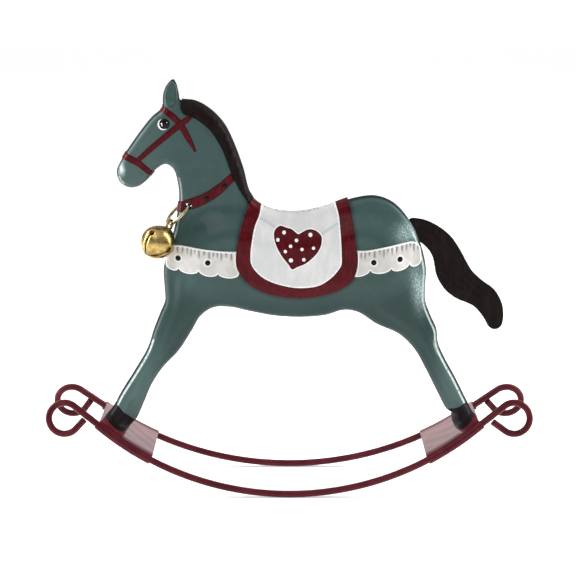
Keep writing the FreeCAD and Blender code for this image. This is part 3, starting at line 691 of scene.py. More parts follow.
def body_enamel(name, rim):
    """Teal body paint with dark hooves; rim is how far its edge gets a painted highlight instead of a painted
    dark shade line.
    """
    f = Finish(name, Specular_IOR_Level=0.08, Coat_Roughness=0.1)
    clouds = f.noise(14, 2)
    grain = f.noise(2.2, 4)
    sides = f.axis("X")
    # Lighter towards the front and rear ends of the horse.
    lighter_ends = f.math("MAXIMUM", sides.step(-36, -50), sides.step(44, 54))
    colour = f.mix(clouds.step(0.3, 0.7), paint(56, 78, 76), paint(62, 86, 84))
    colour = f.mix(grain.step(0.35, 0.8) * 0.35, colour, paint(71, 93, 91))
    colour = f.mix(lighter_ends * 0.6, colour, paint(84, 104, 101))
    # Painted shade: darker low down on the body, except at the lighter ends.
    under = f.axis("Z").step(76, 60) * (1 - lighter_ends)
    colour = f.mix(under * 0.75, colour, paint(40, 60, 57))
    # Painted highlight: lighter along the edge, as far as rim asks (on the ear leaves).
    colour = f.mix(f.mask("edge").step(0.3, 0.15) * rim, colour, paint(126, 148, 146))
    colour = f.mix(f.mask("shade") * 0.8, colour, paint(26, 40, 40))
    # Painted shade: a dark line just inside the pressed edge, where it turns away; left off where rim is
    # painted light.
    colour = f.mix(f.mask("edge").step(0.85, 0.25) * (1 - rim), colour, paint(20, 30, 30))
    crazing = f.noise(0.45, 4, (1, 1, 0.6)).step(0.44, 0.6)
    # Painted highlight over crazed enamel on the rump patches; the crazing is also a bump below.
    colour = f.mix(f.mask("crazing_and_sheen") * (crazing * 0.55 + 0.4), colour, paint(176, 202, 200))
    # Painted highlight: bright broken lines along the edges and a spot on the muzzle.
    colour = f.mix(f.mask("shine") * f.noise(0.8, 2).step(0.2, 0.5), colour, paint(226, 240, 239))
    front_hoof = below_line(f, HOOF_LINES[0]) * sides.step(-50, -51)
    hoof = front_hoof + below_line(f, HOOF_LINES[1]) * sides.step(50, 51)
    colour = f.mix(hoof, colour, f.mix(grain, paint(20, 15, 16), paint(32, 25, 26)))
    peel = f.noise(1.5, 2) * 0.6 + f.noise(0.5, 2) * 0.2
    height = peel + crazing * f.mask("crazing_and_sheen") * 2
    coat = (1 - hoof) * f.mask("edge").step(0.2, 1.4) * 0.2 + 0.02
    f.feed(f.shader.inputs["Coat Weight"], coat)
    return f.finish(colour, 0.34 + clouds * 0.12, height, 0.06)


def strap_enamel():
    f = Finish("burgundy_enamel", Specular_IOR_Level=0.05, Coat_Weight=0.12, Coat_Roughness=0.08)
    brush = f.noise(0.9, 4, (1, 1, 0.3))
    clouds = f.noise(5, 2)
    colour = f.mix(brush.step(0.35, 0.75), paint(73, 6, 13), paint(91, 17, 27))
    colour = f.mix(clouds.step(0.4, 0.9) * 0.4, colour, paint(66, 9, 15))
    colour = f.mix(f.mask("edge").step(0.32, 0.1) * 0.6, colour, paint(38, 4, 9))
    return f.finish(colour, 0.36 + brush * 0.12, brush * 0.7 + f.noise(0.4) * 0.3, 0.05)


def rocker_enamel():
    f = Finish("rocker_enamel", Specular_IOR_Level=0.05, Coat_Roughness=0.08)
    strip = f.mask("strip")
    f.feed(f.shader.inputs["Coat Weight"], strip * 0.8 + 0.16)
    clouds = f.noise(6, 3)
    fine = f.noise(0.6, 3)
    colour = f.mix(clouds.step(0.3, 0.7), paint(74, 18, 27), paint(90, 28, 38))
    colour = f.mix(fine.step(0.7, 0.74) * 0.6, colour, paint(48, 8, 14))
    # Painted reflection: the bare strip of each foot plate gets a lighter copy of the same burgundy.
    colour = f.mix(strip, colour, f.mix(clouds.step(0.3, 0.7), paint(108, 34, 42), paint(124, 50, 58)))
    return f.finish(colour, 0.26 + clouds * 0.1, f.noise(1.6) * 0.7 + fine * 0.3, 0.05)


def cloth_enamel():
    f = Finish("white_enamel", Specular_IOR_Level=0.2, Coat_Weight=0.1, Coat_Roughness=0.3)
    brush = f.noise(3.5, 3, (1, 1, 0.45), (0, 0.5, 0))
    colour = f.mix(brush.step(0.35, 0.7), paint(207, 208, 208), paint(220, 220, 218))
    # Painted shade: bluish grey along the creases.
    colour = f.mix(f.mask("crease") * 0.9, colour, paint(172, 184, 192))
    specks = f.mask("seam") * f.noise(0.7, 2).step(0.52, 0.6)
    colour = f.mix(specks, colour, paint(120, 122, 124))
    colour = f.mix(f.mask("rim"), colour, paint(253, 252, 250))
    return f.finish(colour, 0.42, brush * 0.5 + f.noise(0.8) * 0.3, 0.05)


def lace_enamel():
    f = Finish("lace_enamel", Specular_IOR_Level=0.2, Coat_Weight=0.12, Coat_Roughness=0.25)
    clouds = f.noise(4, 3)
    colour = f.mix(clouds.step(0.35, 0.7), paint(197, 194, 190), paint(214, 212, 208))
    # Painted shade: grey in the grooves of the gathers.
    colour = f.mix(f.mask("fold"), colour, paint(116, 113, 114))
    # Painted highlight along the lace's cut edge, and a whiter ring round each stud.
    rim = f.math("MAXIMUM", f.mask("edge").step(0.6, 0.35), f.mask("halo") * 0.6)
    colour = f.mix(rim, colour, paint(244, 244, 243))
    return f.finish(colour, 0.4, clouds * 0.4 + f.noise(0.7) * 0.4, 0.05)


def mane_enamel():
    f = Finish("mane_enamel", Specular_IOR_Level=0.06, Coat_Weight=0.04, Coat_Roughness=0.3)
    hair = f.noise(1.4, 4, (1, 1, 0.3), (0, 0.6, 0))
    colour = f.mix(hair.step(0.35, 0.75), paint(20, 13, 12), paint(31, 22, 20))
    colour = f.mix(f.noise(3, 2).step(0.66, 0.8) * 0.5, colour, paint(60, 34, 32))
    # Painted shade: darker along the edges of the mane and the tail.
    colour = f.mix(f.mask("edge").step(0.5, 0.25), colour, paint(14, 11, 11))
    return f.finish(colour, 0.44 + hair * 0.15, hair, 0.12)


def fine_enamel(name, low, high, rough, depth, **constants):
    """Smooth enamel for the small pieces, between two close colours."""
    f = Finish(name, **constants)
    fine = f.noise(0.5)
    return f.finish(f.mix(fine, paint(*low), paint(*high)), rough + fine * 0.1, fine, depth)


def stud_enamel():
    return fine_enamel("stud_enamel", (5, 5, 6), (12, 11, 12), 0.3, 0.01,
                       Specular_IOR_Level=0.03, Coat_Weight=0.3, Coat_Roughness=0.05)


def dot_enamel():
    return fine_enamel("dot_enamel", (240, 238, 236), (252, 251, 250), 0.4, 0.03, Specular_IOR_Level=0.4)


def hanging_metal(name, low, high, rough):
    """Tarnished bare metal, between a darker and a brighter colour."""
    f = Finish(name, Metallic=1.0)
    tarnish = f.noise(2.4, 4)
    scratch = f.noise(0.5, 3, (1, 0.25, 1))
    colour = f.mix(tarnish.step(0.35, 0.7), paint(*low), paint(*high))
    return f.finish(colour, rough + tarnish * 0.14, tarnish * 0.5 + scratch * 0.35, 0.03)


# ---- Camera and studio ----
def camera():
    data = bpy.data.cameras.new("camera")
    data.lens = CAMERA_LENS
    data.sensor_width = CAMERA_SENSOR
    eye = bpy.data.objects.new("camera", data)
    eye.location = CAMERA_PLACE
    eye.rotation_euler = (CAMERA_TILT, 0, 0)
    bpy.context.scene.collection.objects.link(eye)
    bpy.context.scene.camera = eye


def softbox(name, place, aim, width, height, power):
    """A soft lamp of a width and a height in metres, turned towards a point."""
    data = bpy.data.lights.new(name, "AREA")
    data.shape = "RECTANGLE"
    data.size = width
    data.size_y = height
    data.energy = power
    lamp = bpy.data.objects.new(name, data)
    lamp.location = place
    lamp.rotation_euler = (Vector(aim) - Vector(place)).to_track_quat("-Z", "Y").to_euler()
    bpy.context.scene.collection.objects.link(lamp)


def studio():
    """White surroundings, soft lamps round the horse and a pale paper floor."""
    bpy.context.scene.view_settings.view_transform = "Standard"
    world = bpy.data.worlds.new("studio")
    bpy.context.scene.world = world
    world.use_nodes = True
    world.node_tree.nodes["Background"].inputs["Color"].default_value = (1, 1, 1, 1)
    world.node_tree.nodes["Background"].inputs["Strength"].default_value = 0.27
    softbox("left_strip", (-0.6, 0.07, 0.33), LAMP_AIM, 0.16, 0.7, 5.5)
    softbox("right_strip", (0.6, 0.07, 0.33), LAMP_AIM, 0.16, 0.7, 4.5)
    softbox("front_fill", (-0.35, -0.8, 0.75), LAMP_AIM, 0.5, 0.5, 1.5)
    softbox("back_wall", (0, 5.2, 1.0), (0, 0, 1.0), 6.4, 1.6, 27.0)
    overhead = bpy.data.lights.new("overhead", "SUN")
    overhead.energy = 1.15
    overhead.angle = math.radians(100)
    lamp = bpy.data.objects.new("overhead", overhead)
    bpy.context.scene.collection.objects.link(lamp)
    f = Finish("backdrop_paper", Specular_IOR_Level=0.1, Emission_Color=(1, 1, 1, 1), Emission_Strength=0.36)
    fibre = f.mix(f.noise(3, 2), (0.9, 0.9, 0.9, 1), (0.93, 0.93, 0.93, 1))
    mesh = bpy.data.meshes.new("floor")
    corners = [(x * FLOOR_HALF, y * FLOOR_HALF, 0) for x, y in ((-1, -1), (1, -1), (1, 1), (-1, 1))]
    mesh.from_pydata(corners, [], [(0, 1, 2, 3)])
    mesh.materials.append(f.finish(fibre, 0.9))
    floor = bpy.data.objects.new("floor", mesh)
    bpy.context.scene.collection.objects.link(floor)


# ---- Body shells ----
def foot_rows():
    """Rows of points above the foot plates, where the feet turn out."""
    rows = []
    for above in FOOT_ROW_HEIGHTS:
        for x in np.arange(*FOOT_X, FOOT_ROW_STEP):
            rows += [(x, plate_top_z(x) + above), (-x, plate_top_z(x) + above)]
    return rows


def patch(flat, centre, half_width, half_height, slant=0.0):
    """Soft oval patch round a centre, which leans over by slant along its height."""
    across = flat[:, 0] - centre[0] + slant * (flat[:, 1] - centre[1])
    return np.exp(-(across / half_width) ** 2 - ((flat[:, 1] - centre[1]) / half_height) ** 2)


def crazed_sheen_patches(flat):
    """Bright crazed patches on the rump: crazed enamel, with a painted highlight laid over it."""
    return sum(patch(flat, *sheen_spot) for sheen_spot in RUMP_SHEEN_PATCHES)


def painted_rim_highlights(flat, edge, slope):
    """Painted highlight line just inside the pressed edge, down the front leg, the neck and the hind leg, and
    a painted highlight spot on the muzzle.
    """
    line = np.exp(-((edge - RIM_LINE) / RIM_WIDTH) ** 2)
    x, z = flat[:, 0], flat[:, 1]
    throat = (z > RIM_THROAT[0]) & (z < RIM_THROAT[1])
    front = (slope[:, 0] > 0.5) * (x < RIM_FRONT_X) * ((z < RIM_LEG_TOP) | throat)
    rear = (slope[:, 0] < -0.5) * (x > RIM_REAR_X) * (z < RIM_REAR_TOP)
    fainter = 1 - 0.5 * (front & throat)
    return line * (front + rear) * fainter + patch(flat, *MUZZLE_HIGHLIGHT)


def body_shells(enamel):
    """Both stamped half shells, with masks for the painted shade, the crazed rump patches with their painted
    highlight, and the painted highlight lines on them.
    """
    region = Region(outside=[disc_loop(NECK_HOLE, NECK_HOLE_R)], wrap=0.0, floor=plate_top_z)
    flat, tiles = region.tiles((0.3,), WRAP_RINGS, 0.75, foot_rows())
    gap = seam(flat)
    front = np.maximum(surface(flat), gap)
    step = 0.05
    edge = edge_distance(flat, HORSE_LOOP)
    slope = np.stack([edge_distance(flat + offset, HORSE_LOOP) - edge
                      for offset in np.array([(step, 0), (0, step)])], 1) / step
    lip = SHEET * np.clip(1 - edge / LIP_FADE, 0, 1)[:, None]
    inner_flat = flat + slope * lip
    back = np.maximum(front - SHEET * 1.1, gap)
    points, faces = closed_sheet(flat, tiles, front, back, inner_flat)
    beside_cloth = 0.8 * (1 - ease(-edge_distance(flat, cloth_loop()) / 1.5))
    masks = {"shade": np.maximum(beside_cloth, 0.4 * patch(flat, *BREAST_SHADE)), "edge": edge,
             "crazing_and_sheen": crazed_sheen_patches(flat), "shine": painted_rim_highlights(flat, edge, slope)}
    both_sides("body_half_left", points, faces, enamel, stands_for=["body_shell_left"], slot="body_paint",
               masks={key: np.tile(value, 2) for key, value in masks.items()})


def ear_leaves(enamel):
    """A thin leaf on each ear, a little hollow in its middle."""

    def hollow(flat, reach):
        return -EAR_HOLLOW * ease((reach - 0.35) / 0.9)

    region = Region([curve_through(EAR_LEAF)])
    trim("ear_leaf_left", region, EAR_SHEET, enamel, 0.4, hollow, slot="body_paint")


# ---- Painted and soldered trims ----
def mane(enamel):
    """A strip down each side of the neck, pressed into wavy locks."""
    region = Region([mane_loop()], [cloth_loop()], wrap=sum(MANE))

    def locks(flat, reach):
        wave = np.sin(flat[:, 0] * 1.3 + flat[:, 1] * 2.1) + np.sin(flat[:, 0] * 2.9 - flat[:, 1] * 1.2)
        return LOCK_RISE * wave * ease(reach / 1.2)

    trim("mane_strip_left", region, MANE, enamel, 0.6, locks, stands_for=["mane_strip_left"],
         slot="mane_paint")


def cloth_loop():
    return between_lines(CLOTH_EDGE)


def between_lines(*lines):
    """Closed loop made of smooth open lines, end to end."""
    return closed_loop(*(curve_through(line, closed=False) for line in lines))


def mane_loop():
    return between_lines(MANE_OUTER, MANE_INNER)


def crease_mask(flat):
    shade = np.zeros(len(flat))
    for line in CREASES:
        path = curve_through(line, closed=False, step=0.2)
        away = np.sqrt(((flat[:, None, :] - path[None]) ** 2).sum(2)).min(1)
        shade = np.maximum(shade, 1 - ease(away / CREASE_HALF))
    return shade


def saddle_cloth(white, burgundy, dots):
    """The white cloth, with its burgundy border and dotted heart painted on it as thin raised layers."""
    wrap = sum(CLOTH)
    edge, field = cloth_loop(), between_lines(CLOTH_FIELD)

    def folds(flat, reach):
        return -CREASE_DEPTH * crease_mask(flat)

    def masks(flat, reach):
        beside = np.abs(edge_distance(flat, field))
        overhang = edge_distance(flat, HORSE_LOOP) + wrap
        return {"crease": crease_mask(flat), "rim": 1 - ease((beside - 0.25) / 0.2),
                "seam": 1 - ease(overhang / 0.5)}

    trim("saddle_cloth_left", Region([edge], wrap=wrap), CLOTH, white, 0.5, folds, masks=masks,
         stands_for=["saddle_cloth_left"], slot="cloth_paint")
    border = (wrap - PAINT_SINK, BORDER_PAINT)
    trim("cloth_border_left", Region([edge], [field], wrap=wrap + BORDER_PAINT), border, burgundy, 0.6,
         roll=0.15, slot="strap_paint")
    heart = curve_through(HEART, step=FINE_STEP)
    trim("heart_left", Region([heart]), (wrap - PAINT_SINK, HEART_PAINT), burgundy, 0.5, roll=0.15,
         slot="strap_paint")
    rim = Region([moved_out(heart, HEART_RIM_WIDTH)], [heart])
    trim("heart_rim_left", rim, (wrap - HEART_RIM_SINK, HEART_RIM_PAINT), dots, 0.5, roll=0.12,
         slot="cloth_paint")
    domes("heart_dots_left", HEART_DOTS, wrap + HEART_PAINT - 0.05, 0.12, dots, "cloth_paint")


def domes(name, places, lift, height, finish, slot, stands_for=()):
    """Small round domes on the shell: a mesh for each side, or one for both if the name has no side."""
    points, faces = [], []
    turns, rings = 20, 6
    for x, z, radius in places:
        first = len(points)
        rows = [(radius * math.sin(a), math.cos(a)) for a in np.linspace(math.pi / 2, 0, rings)[:-1]]
        domed = [disc_loop((x, z), r, turns) for r, _ in rows]
        flat = np.vstack(domed + [[(x, z)], disc_loop((x, z), radius, turns)])
        up = np.concatenate([np.full(turns, h) for _, h in rows] + [[1.0], np.full(turns, -0.6)])
        depth = surface(flat, lift) + height * up
        points += list(np.stack([flat[:, 0], -depth, flat[:, 1]], 1))
        top = first + turns * (rings - 1)
        for r in range(rings - 2):
            for i in range(turns):
                j = (i + 1) % turns
                a, b = first + r * turns, first + (r + 1) * turns
                faces.append((a + i, a + j, b + j, b + i))
        for i in range(turns):
            j = (i + 1) % turns
            faces.append((top - turns + i, top - turns + j, top))
            faces.append((top + 1 + j, first + j, first + i, top + 1 + i)[::-1])
        faces.append([top + 1 + i for i in range(turns)][::-1])
    if "left" in name:
        return both_sides(name, np.array(points), faces, finish, slot=slot)
    points = np.array(points)
    faces += [[v + len(points) for v in face[::-1]] for face in faces]
    points = np.vstack([points, points * (1, -1, 1)])
    return add_mesh(name, points, faces, finish, slot=slot, stands_for=stands_for)


def scalloped(top, lobes):
    """Lace outline: a smooth top edge and a row of round scallops below."""
    rows = [curve_through(top, closed=False, step=FINE_STEP)]
    for (x0, z0), (x1, z1) in zip(lobes[::-1], lobes[-2::-1]):
        t = np.linspace(0, 1, 24, endpoint=False)
        sag = LOBE_DROP * np.sqrt(np.maximum(1 - (2 * t - 1) ** 2, 0)) ** 1.15
        rows.append(np.stack([x0 + (x1 - x0) * t, z0 + (z1 - z0) * t - sag], 1))
    rows.append(np.array([lobes[0]], float))
    return closed_loop(*rows)


def lace(name, top, lobes, white):
    """A scalloped lace strip with gathers pressed in below its top edge."""
    studs = np.array(BREAST_STUDS + RUMP_STUDS)
    crest = curve_through(top, closed=False)
    order = np.argsort(crest[:, 0])

    def gathers(flat):
        down = np.interp(flat[:, 0], crest[order, 0], crest[order, 1]) - flat[:, 1]
        length = GATHER_LENGTH + 0.7 * np.sin(flat[:, 0] * 1.9)
        window = ease((down - 0.15) / 0.3) * (1 - ease((down - length + 1.6) / 1.6))
        groove = 0.5 + 0.5 * np.cos(flat[:, 0] * 2 * math.pi / GATHER_STEP + np.sin(flat[:, 0] * 0.8))
        return window * groove ** 2.5

    def flutes(flat, reach):
        bead = LACE_BEAD * (1 - ease((reach - 0.25) / 0.45))
        return bead * edge_roll(reach) - GATHER_DEPTH * gathers(flat)

    def masks(flat, reach):
        ring = np.min([np.linalg.norm(flat - stud, axis=1) for stud in studs], axis=0)
        # fold carries the painted shade of the gathers.
        return {"fold": 0.95 * gathers(flat), "halo": 1 - ease((ring - LACE_STUD_R - 0.35) / 0.2)}

    region = Region([scalloped(top, lobes)], [cloth_loop()], wrap=sum(LACE))
    trim(name, region, LACE, white, 0.32, flutes, masks=masks, stands_for=[name], slot="lace_paint")


def neck_strap(burgundy):
    """A strap round the neck, with the hole that the jump ring passes through."""
    hole = disc_loop(NECK_HOLE, STRAP_HOLE_R)
    region = Region([between_lines(STRAP_TOP, STRAP_BOTTOM)], [hole, mane_loop()], wrap=sum(STRAP))
    trim("neck_strap_left", region, STRAP, burgundy, 0.5, roll=0.2, stands_for=["neck_strap_left"],
         slot="strap_paint")


def bridle(burgundy, black, white):
    """Painted bridle strokes, each a little over the one before, and the painted eye with white dots for
    glints, a painted highlight.
    """
    names = ("brow_band_left", "cheek_band_left", "nose_band_left")
    for coat, (name, (points, widths)) in enumerate(zip(names, BRIDLE_STROKES)):
        lift, sheet = BRIDLE
        layer = (lift + coat * BRIDLE_STEP, sheet)
        region = Region([stroke_loop(points, widths)], wrap=sum(layer))
        trim(name, region, layer, burgundy, 0.4, slot="strap_paint")
    domes("eye_white_left", [EYE_WHITE], 0.0, 0.2, white, "cloth_paint")
    domes("eye_left", [(*EYE, EYE_R)], 0.0, EYE_RISE, black, "stud_paint")
    # White dots as glints on the eye: painted highlights.
    glints = [(EYE[0] + x, EYE[1] + z, radius) for x, z, radius in EYE_GLINTS]
    domes("eye_sparks_left", glints, 0.42, 0.12, white, "cloth_paint")


def studs(black):
    """Round heads of the studs, sunk a little into the lace and the strap."""
    for kind, places, radius, under, rise in (
            ("lace", BREAST_STUDS + RUMP_STUDS, LACE_STUD_R, sum(LACE) - LACE_STUD_SINK, LACE_STUD_RISE),
            ("strap", STRAP_STUDS, STRAP_STUD_R, sum(STRAP) - STRAP_STUD_SINK, STRAP_STUD_RISE)):
        rounds = [(x, z, radius) for x, z in places]
        domes(kind + "_rivets", rounds, under, rise, black, "stud_paint", [kind + "_studs"])


def tail(enamel):
    """One flat wavy sheet in the middle plane, with fine lines along it."""
    region = Region([curve_through(TAIL)])
    flat, tiles = region.tiles(RINGS, (), 0.6)
    reach = region.reach(flat)
    hair = TAIL_HAIR * np.sin(reach * 3.2 + flat[:, 1] * 0.25) * ease(reach / 1.0)
    half = TAIL_HALF * quarter_round(reach / 0.7) - TAIL_HAIR * ease(reach / 0.7) + hair
    half = np.maximum(half, 0.02)
    points, faces = closed_sheet(flat, tiles, half, -half)
    add_mesh("tail_sheet", points, faces, enamel, stands_for=["tail"], slot="mane_paint",
             masks={"edge": np.tile(reach, 2)})


# ---- Wires ----
def ring_faces(count, sides, closed=False):
    """Faces between rings of points, with the first and last ring filled in unless they join up."""
    faces = []
    for i in range(count if closed else count - 1):
        a, b = i * sides, (i + 1) % count * sides
        faces += [(a + k, a + (k + 1) % sides, b + (k + 1) % sides, b + k) for k in range(sides)]
    if not closed:
        faces += [list(range(sides))[::-1], list(range((count - 1) * sides, count * sides))]
    return faces


def tube(path, radius, sides=16, closed=False):
    """Round wire along a path, with cut ends unless it is closed."""
    path = np.array(path, float)
    radii = np.full(len(path), radius)
    if not closed:
        bevel = radius * CUT_BEVEL
        angle = np.linspace(0, math.pi / 2, 5)
        ends = []
        for end, before in ((path[0], path[1]), (path[-1], path[-2])):
            way = unit(end - before)
            ends.append(end + way * (bevel * (np.sin(math.pi / 2 - angle) - 1))[:, None])
        clear = [np.linalg.norm(path - end, axis=1) > bevel * 1.05 for end in (path[0], path[-1])]
        path = np.vstack([ends[0], path[clear[0] & clear[1]], ends[1][::-1]])
        radii = np.full(len(path), radius)
        radii[:len(angle)] = radius - bevel * (1 - np.sin(angle))
        radii[-len(angle):] = radii[:len(angle)][::-1]
    count = len(path)
    along = np.roll(path, -1, axis=0) - np.roll(path, 1, axis=0) if closed else np.gradient(path, axis=0)
    along /= np.linalg.norm(along, axis=1)[:, None]
    normal = np.cross(along[0], (0.3, 0.9, 0.2))
    rows = []
    turn = np.linspace(0, 2 * math.pi, sides, endpoint=False)
    for i in range(count):
        normal = unit(normal - along[i] * normal.dot(along[i]))
        side = np.cross(along[i], normal)
        rows.append(path[i] + radii[i] * (np.cos(turn)[:, None] * normal + np.sin(turn)[:, None] * side))
    return np.vstack(rows), ring_faces(count, sides, closed)


def leaning(x, s, b, side):
    """A point of the rocker's own plane, b off it, in its leaning place on one side."""
    x, s, b = (np.asarray(v, float) for v in (x, s, b))
    y = side * (TRACK_WIDTH / 2 - s * math.sin(LEAN)) + side * b * math.cos(LEAN)
    z = WIRE_R + s * math.cos(LEAN) + b * math.sin(LEAN)
    return np.stack(np.broadcast_arrays(x, y, z), -1)


def rocker_end(tip_degrees):
    """One end of a rocker from the long arc to its tip, as x and s."""
    tip = math.radians(tip_degrees)
    arc_x, arc_s = ROCKER_RADIUS * math.sin(RISE_ANGLE), ROCKER_RADIUS * (1 - math.cos(RISE_ANGLE))
    run = (LOOP_CENTRE_X - LOOP_RADIUS * math.sin(RISE_ANGLE) - arc_x) / math.cos(RISE_ANGLE)
    top = np.array([arc_x + run * math.cos(RISE_ANGLE), arc_s + run * math.sin(RISE_ANGLE)])
    centre = top + LOOP_RADIUS * np.array([math.sin(RISE_ANGLE), -math.cos(RISE_ANGLE)])
    start, turn = math.pi / 2 + RISE_ANGLE, math.pi + tip + RISE_ANGLE
    angle = np.linspace(start, start - turn, 44)
    loop = centre + LOOP_RADIUS * np.stack([np.cos(angle), np.sin(angle)], 1)
    meet = tip + RISE_ANGLE
    reach = LOOP_RADIUS + LOOP_RADIUS * math.cos(meet) - WIRE_R - WIRE_R * abs(math.cos(meet)) - TIP_GAP
    length = reach / math.sin(meet)
    straight = loop[-1] + np.linspace(0, length, 8)[1:, None] * np.array([-math.cos(tip), math.sin(tip)])
    run_points = np.array([arc_x, arc_s]) + np.linspace(0, run, 12)[1:-1, None] * np.array(
        [math.cos(RISE_ANGLE), math.sin(RISE_ANGLE)])
    return np.vstack([run_points, loop, straight])


def rocker_wires(enamel):
    """Each rocker: a long arc, and at each end a loop whose tip is bent back against the wire."""
    for name, side in (("left", -1), ("right", 1)):
        front, rear = (rocker_end(slope) for slope in TIP_SLOPES[name])
        angle = np.linspace(-RISE_ANGLE, RISE_ANGLE, 90)
        middle = np.stack([ROCKER_RADIUS * np.sin(angle), ROCKER_RADIUS * (1 - np.cos(angle))], 1)
        path = np.vstack([(front * (-1, 1))[::-1], middle, rear])
        points, faces = tube(leaning(path[:, 0], path[:, 1], 0.0, side), WIRE_R)
        node = "rocker_wire_" + name
        add_mesh(node + "_bent", points, faces, enamel, stands_for=[node], slot="rocker_paint")


def plate_profile(angle, out):
    """Cross-section of a foot plate at an angle along the rockers, out above the inner face."""
    s = ROCKER_RADIUS * (1 - math.cos(angle))
    x = ROCKER_RADIUS * math.sin(angle)
    radius = WIRE_R + WRAP_GAP + out
    up = leaning(-math.sin(angle), math.cos(angle), 0, 1) - leaning(0, 0, 0, 1)
    off = leaning(0, 0, 1, 1) - leaning(0, 0, 0, 1)
    centre = leaning(x, s, 0, 1)
    level = math.atan2(-up[1], off[1])
    turn = np.linspace(level + WRAP_TURN, level, WRAP_POINTS)
    wrap = centre + radius * (np.cos(turn)[:, None] * up + np.sin(turn)[:, None] * off)
    x, y, z = wrap[-1]
    strip_y = np.linspace(y, -y, STRIP_POINTS)[1:-1]
    strip = np.stack([np.full(len(strip_y), x), strip_y, np.full(len(strip_y), z)], 1)
    return np.vstack([wrap, strip, wrap[::-1] * (1, -1, 1)])


def foot_plate(name, end, node, enamel):
    """A strip across the rockers with its two edges rolled round the wires."""
    low, high = (math.asin(x / ROCKER_RADIUS) for x in PLATE_X)
    angles = np.linspace(low, high, 30)
    rows = {}
    for layer, out in (("outer", PLATE_SHEET), ("inner", 0.0)):
        rows[layer] = np.array([plate_profile(a, out) for a in angles]) * (end, 1, 1)
    outer, inner = rows["outer"], rows["inner"]
    bow = np.sin(outer[..., 1] * 0.9 + outer[..., 0] * 0.7) * PLATE_BOW
    flat_part = np.abs(outer[..., 1]) < PLATE_BOW_HALF
    strip = np.abs(outer[..., 1]) < PLATE_FLAT_HALF
    outer[..., 2] += bow * flat_part
    inner[..., 2] += bow * flat_part
    stations, across = outer.shape[:2]
    points = np.vstack([outer.reshape(-1, 3), inner.reshape(-1, 3)])
    offset = stations * across

    def at(i, j):
        return i * across + j

    faces = []
    for i in range(stations - 1):
        for j in range(across - 1):
            quad = (at(i, j), at(i + 1, j), at(i + 1, j + 1), at(i, j + 1))
            faces.append(quad)
            faces.append(tuple(v + offset for v in quad[::-1]))
    for i in range(stations - 1):
        for j, flip in ((0, False), (across - 1, True)):
            quad = (at(i, j), at(i, j) + offset, at(i + 1, j) + offset, at(i + 1, j))
            faces.append(quad[::-1] if flip else quad)
    for j in range(across - 1):
        for i, flip in ((0, True), (stations - 1, False)):
            quad = (at(i, j), at(i, j) + offset, at(i, j + 1) + offset, at(i, j + 1))
            faces.append(quad[::-1] if flip else quad)
    if end < 0:
        faces = [f[::-1] for f in faces]
    piece = add_mesh(name, points, faces, enamel, stands_for=[node], slot="rocker_paint",
                     masks={"strip": np.tile(strip.ravel(), 2)})
    bevel = piece.modifiers.new("worn_edge", "BEVEL")
    bevel.width = PLATE_WORN_EDGE * MM
    bevel.segments = 3
    bevel.limit_method = "ANGLE"
    bevel.angle_limit = math.radians(50)


# ---- Jump ring and bell ----
def middle_of(node):
    low, high = box_mm(node)
    return (low + high) / 2


def joint(name):
    return next(j for j in frame["joints"] if j["name"] == name)


def hanging_frame():
    """Directions of the hanging bell: its low pole, the way of the ring's wire, and the way across both."""
    low = unit(middle_of("bell_pellet") - middle_of("bell_body"))
    wire = unit(joint("bell_swing")["axis"])
    return low, wire, np.cross(low, wire)


def jump_ring(metal):
    """A cut wire ring through the neck and the bell's loop."""
    centre = middle_of("jump_ring")
    link = np.array(joint("bell_swing")["pos_m"]) / MM
    outward = unit(link - centre)
    along = np.array(joint("bell_swing")["axis"])
    radius = np.linalg.norm(link - centre)
    turn = np.linspace(RING_CUT_ANGLE, RING_CUT_ANGLE + 2 * math.pi - RING_CUT, 96)
    path = centre + radius * (np.cos(turn)[:, None] * outward + np.sin(turn)[:, None] * along)
    points, faces = tube(path, RING_WIRE_R, WIRE_SIDES)
    add_mesh("jump_ring_wire", points, faces, metal, "ring", ["jump_ring"], "bell_brass")


def bell_slots():
    """Outline of the four slots and their round ends, spread flat round the bell's low pole."""
    end = BELL_R * BELL_HOLE_ANGLE

    def half(s):
        polar = s / BELL_R
        return BELL_SLOT_HALF * polar / math.sin(polar)

    arms = []
    widen = BELL_HOLE_ANGLE / math.sin(BELL_HOLE_ANGLE)
    opening = math.asin(half(end) / (BELL_HOLE_R * widen))
    turn = np.linspace(math.pi - opening, opening - math.pi, 25)
    rounded = np.stack([end + BELL_HOLE_R * np.cos(turn), BELL_HOLE_R * widen * np.sin(turn)], 1)
    lengths = np.arange(BELL_SLOT_HALF, rounded[0][0] - 0.15, 0.3)
    widths = np.array([half(s) for s in lengths])
    arm = np.vstack([np.stack([lengths, widths], 1), rounded, np.stack([lengths, -widths], 1)[::-1]])
    for quarter in range(4):
        c, s = round(math.cos(quarter * math.pi / 2)), round(math.sin(quarter * math.pi / 2))
        arms.append(arm @ np.array([(c, s), (-s, c)]))
    return closed_loop(*arms[::-1])


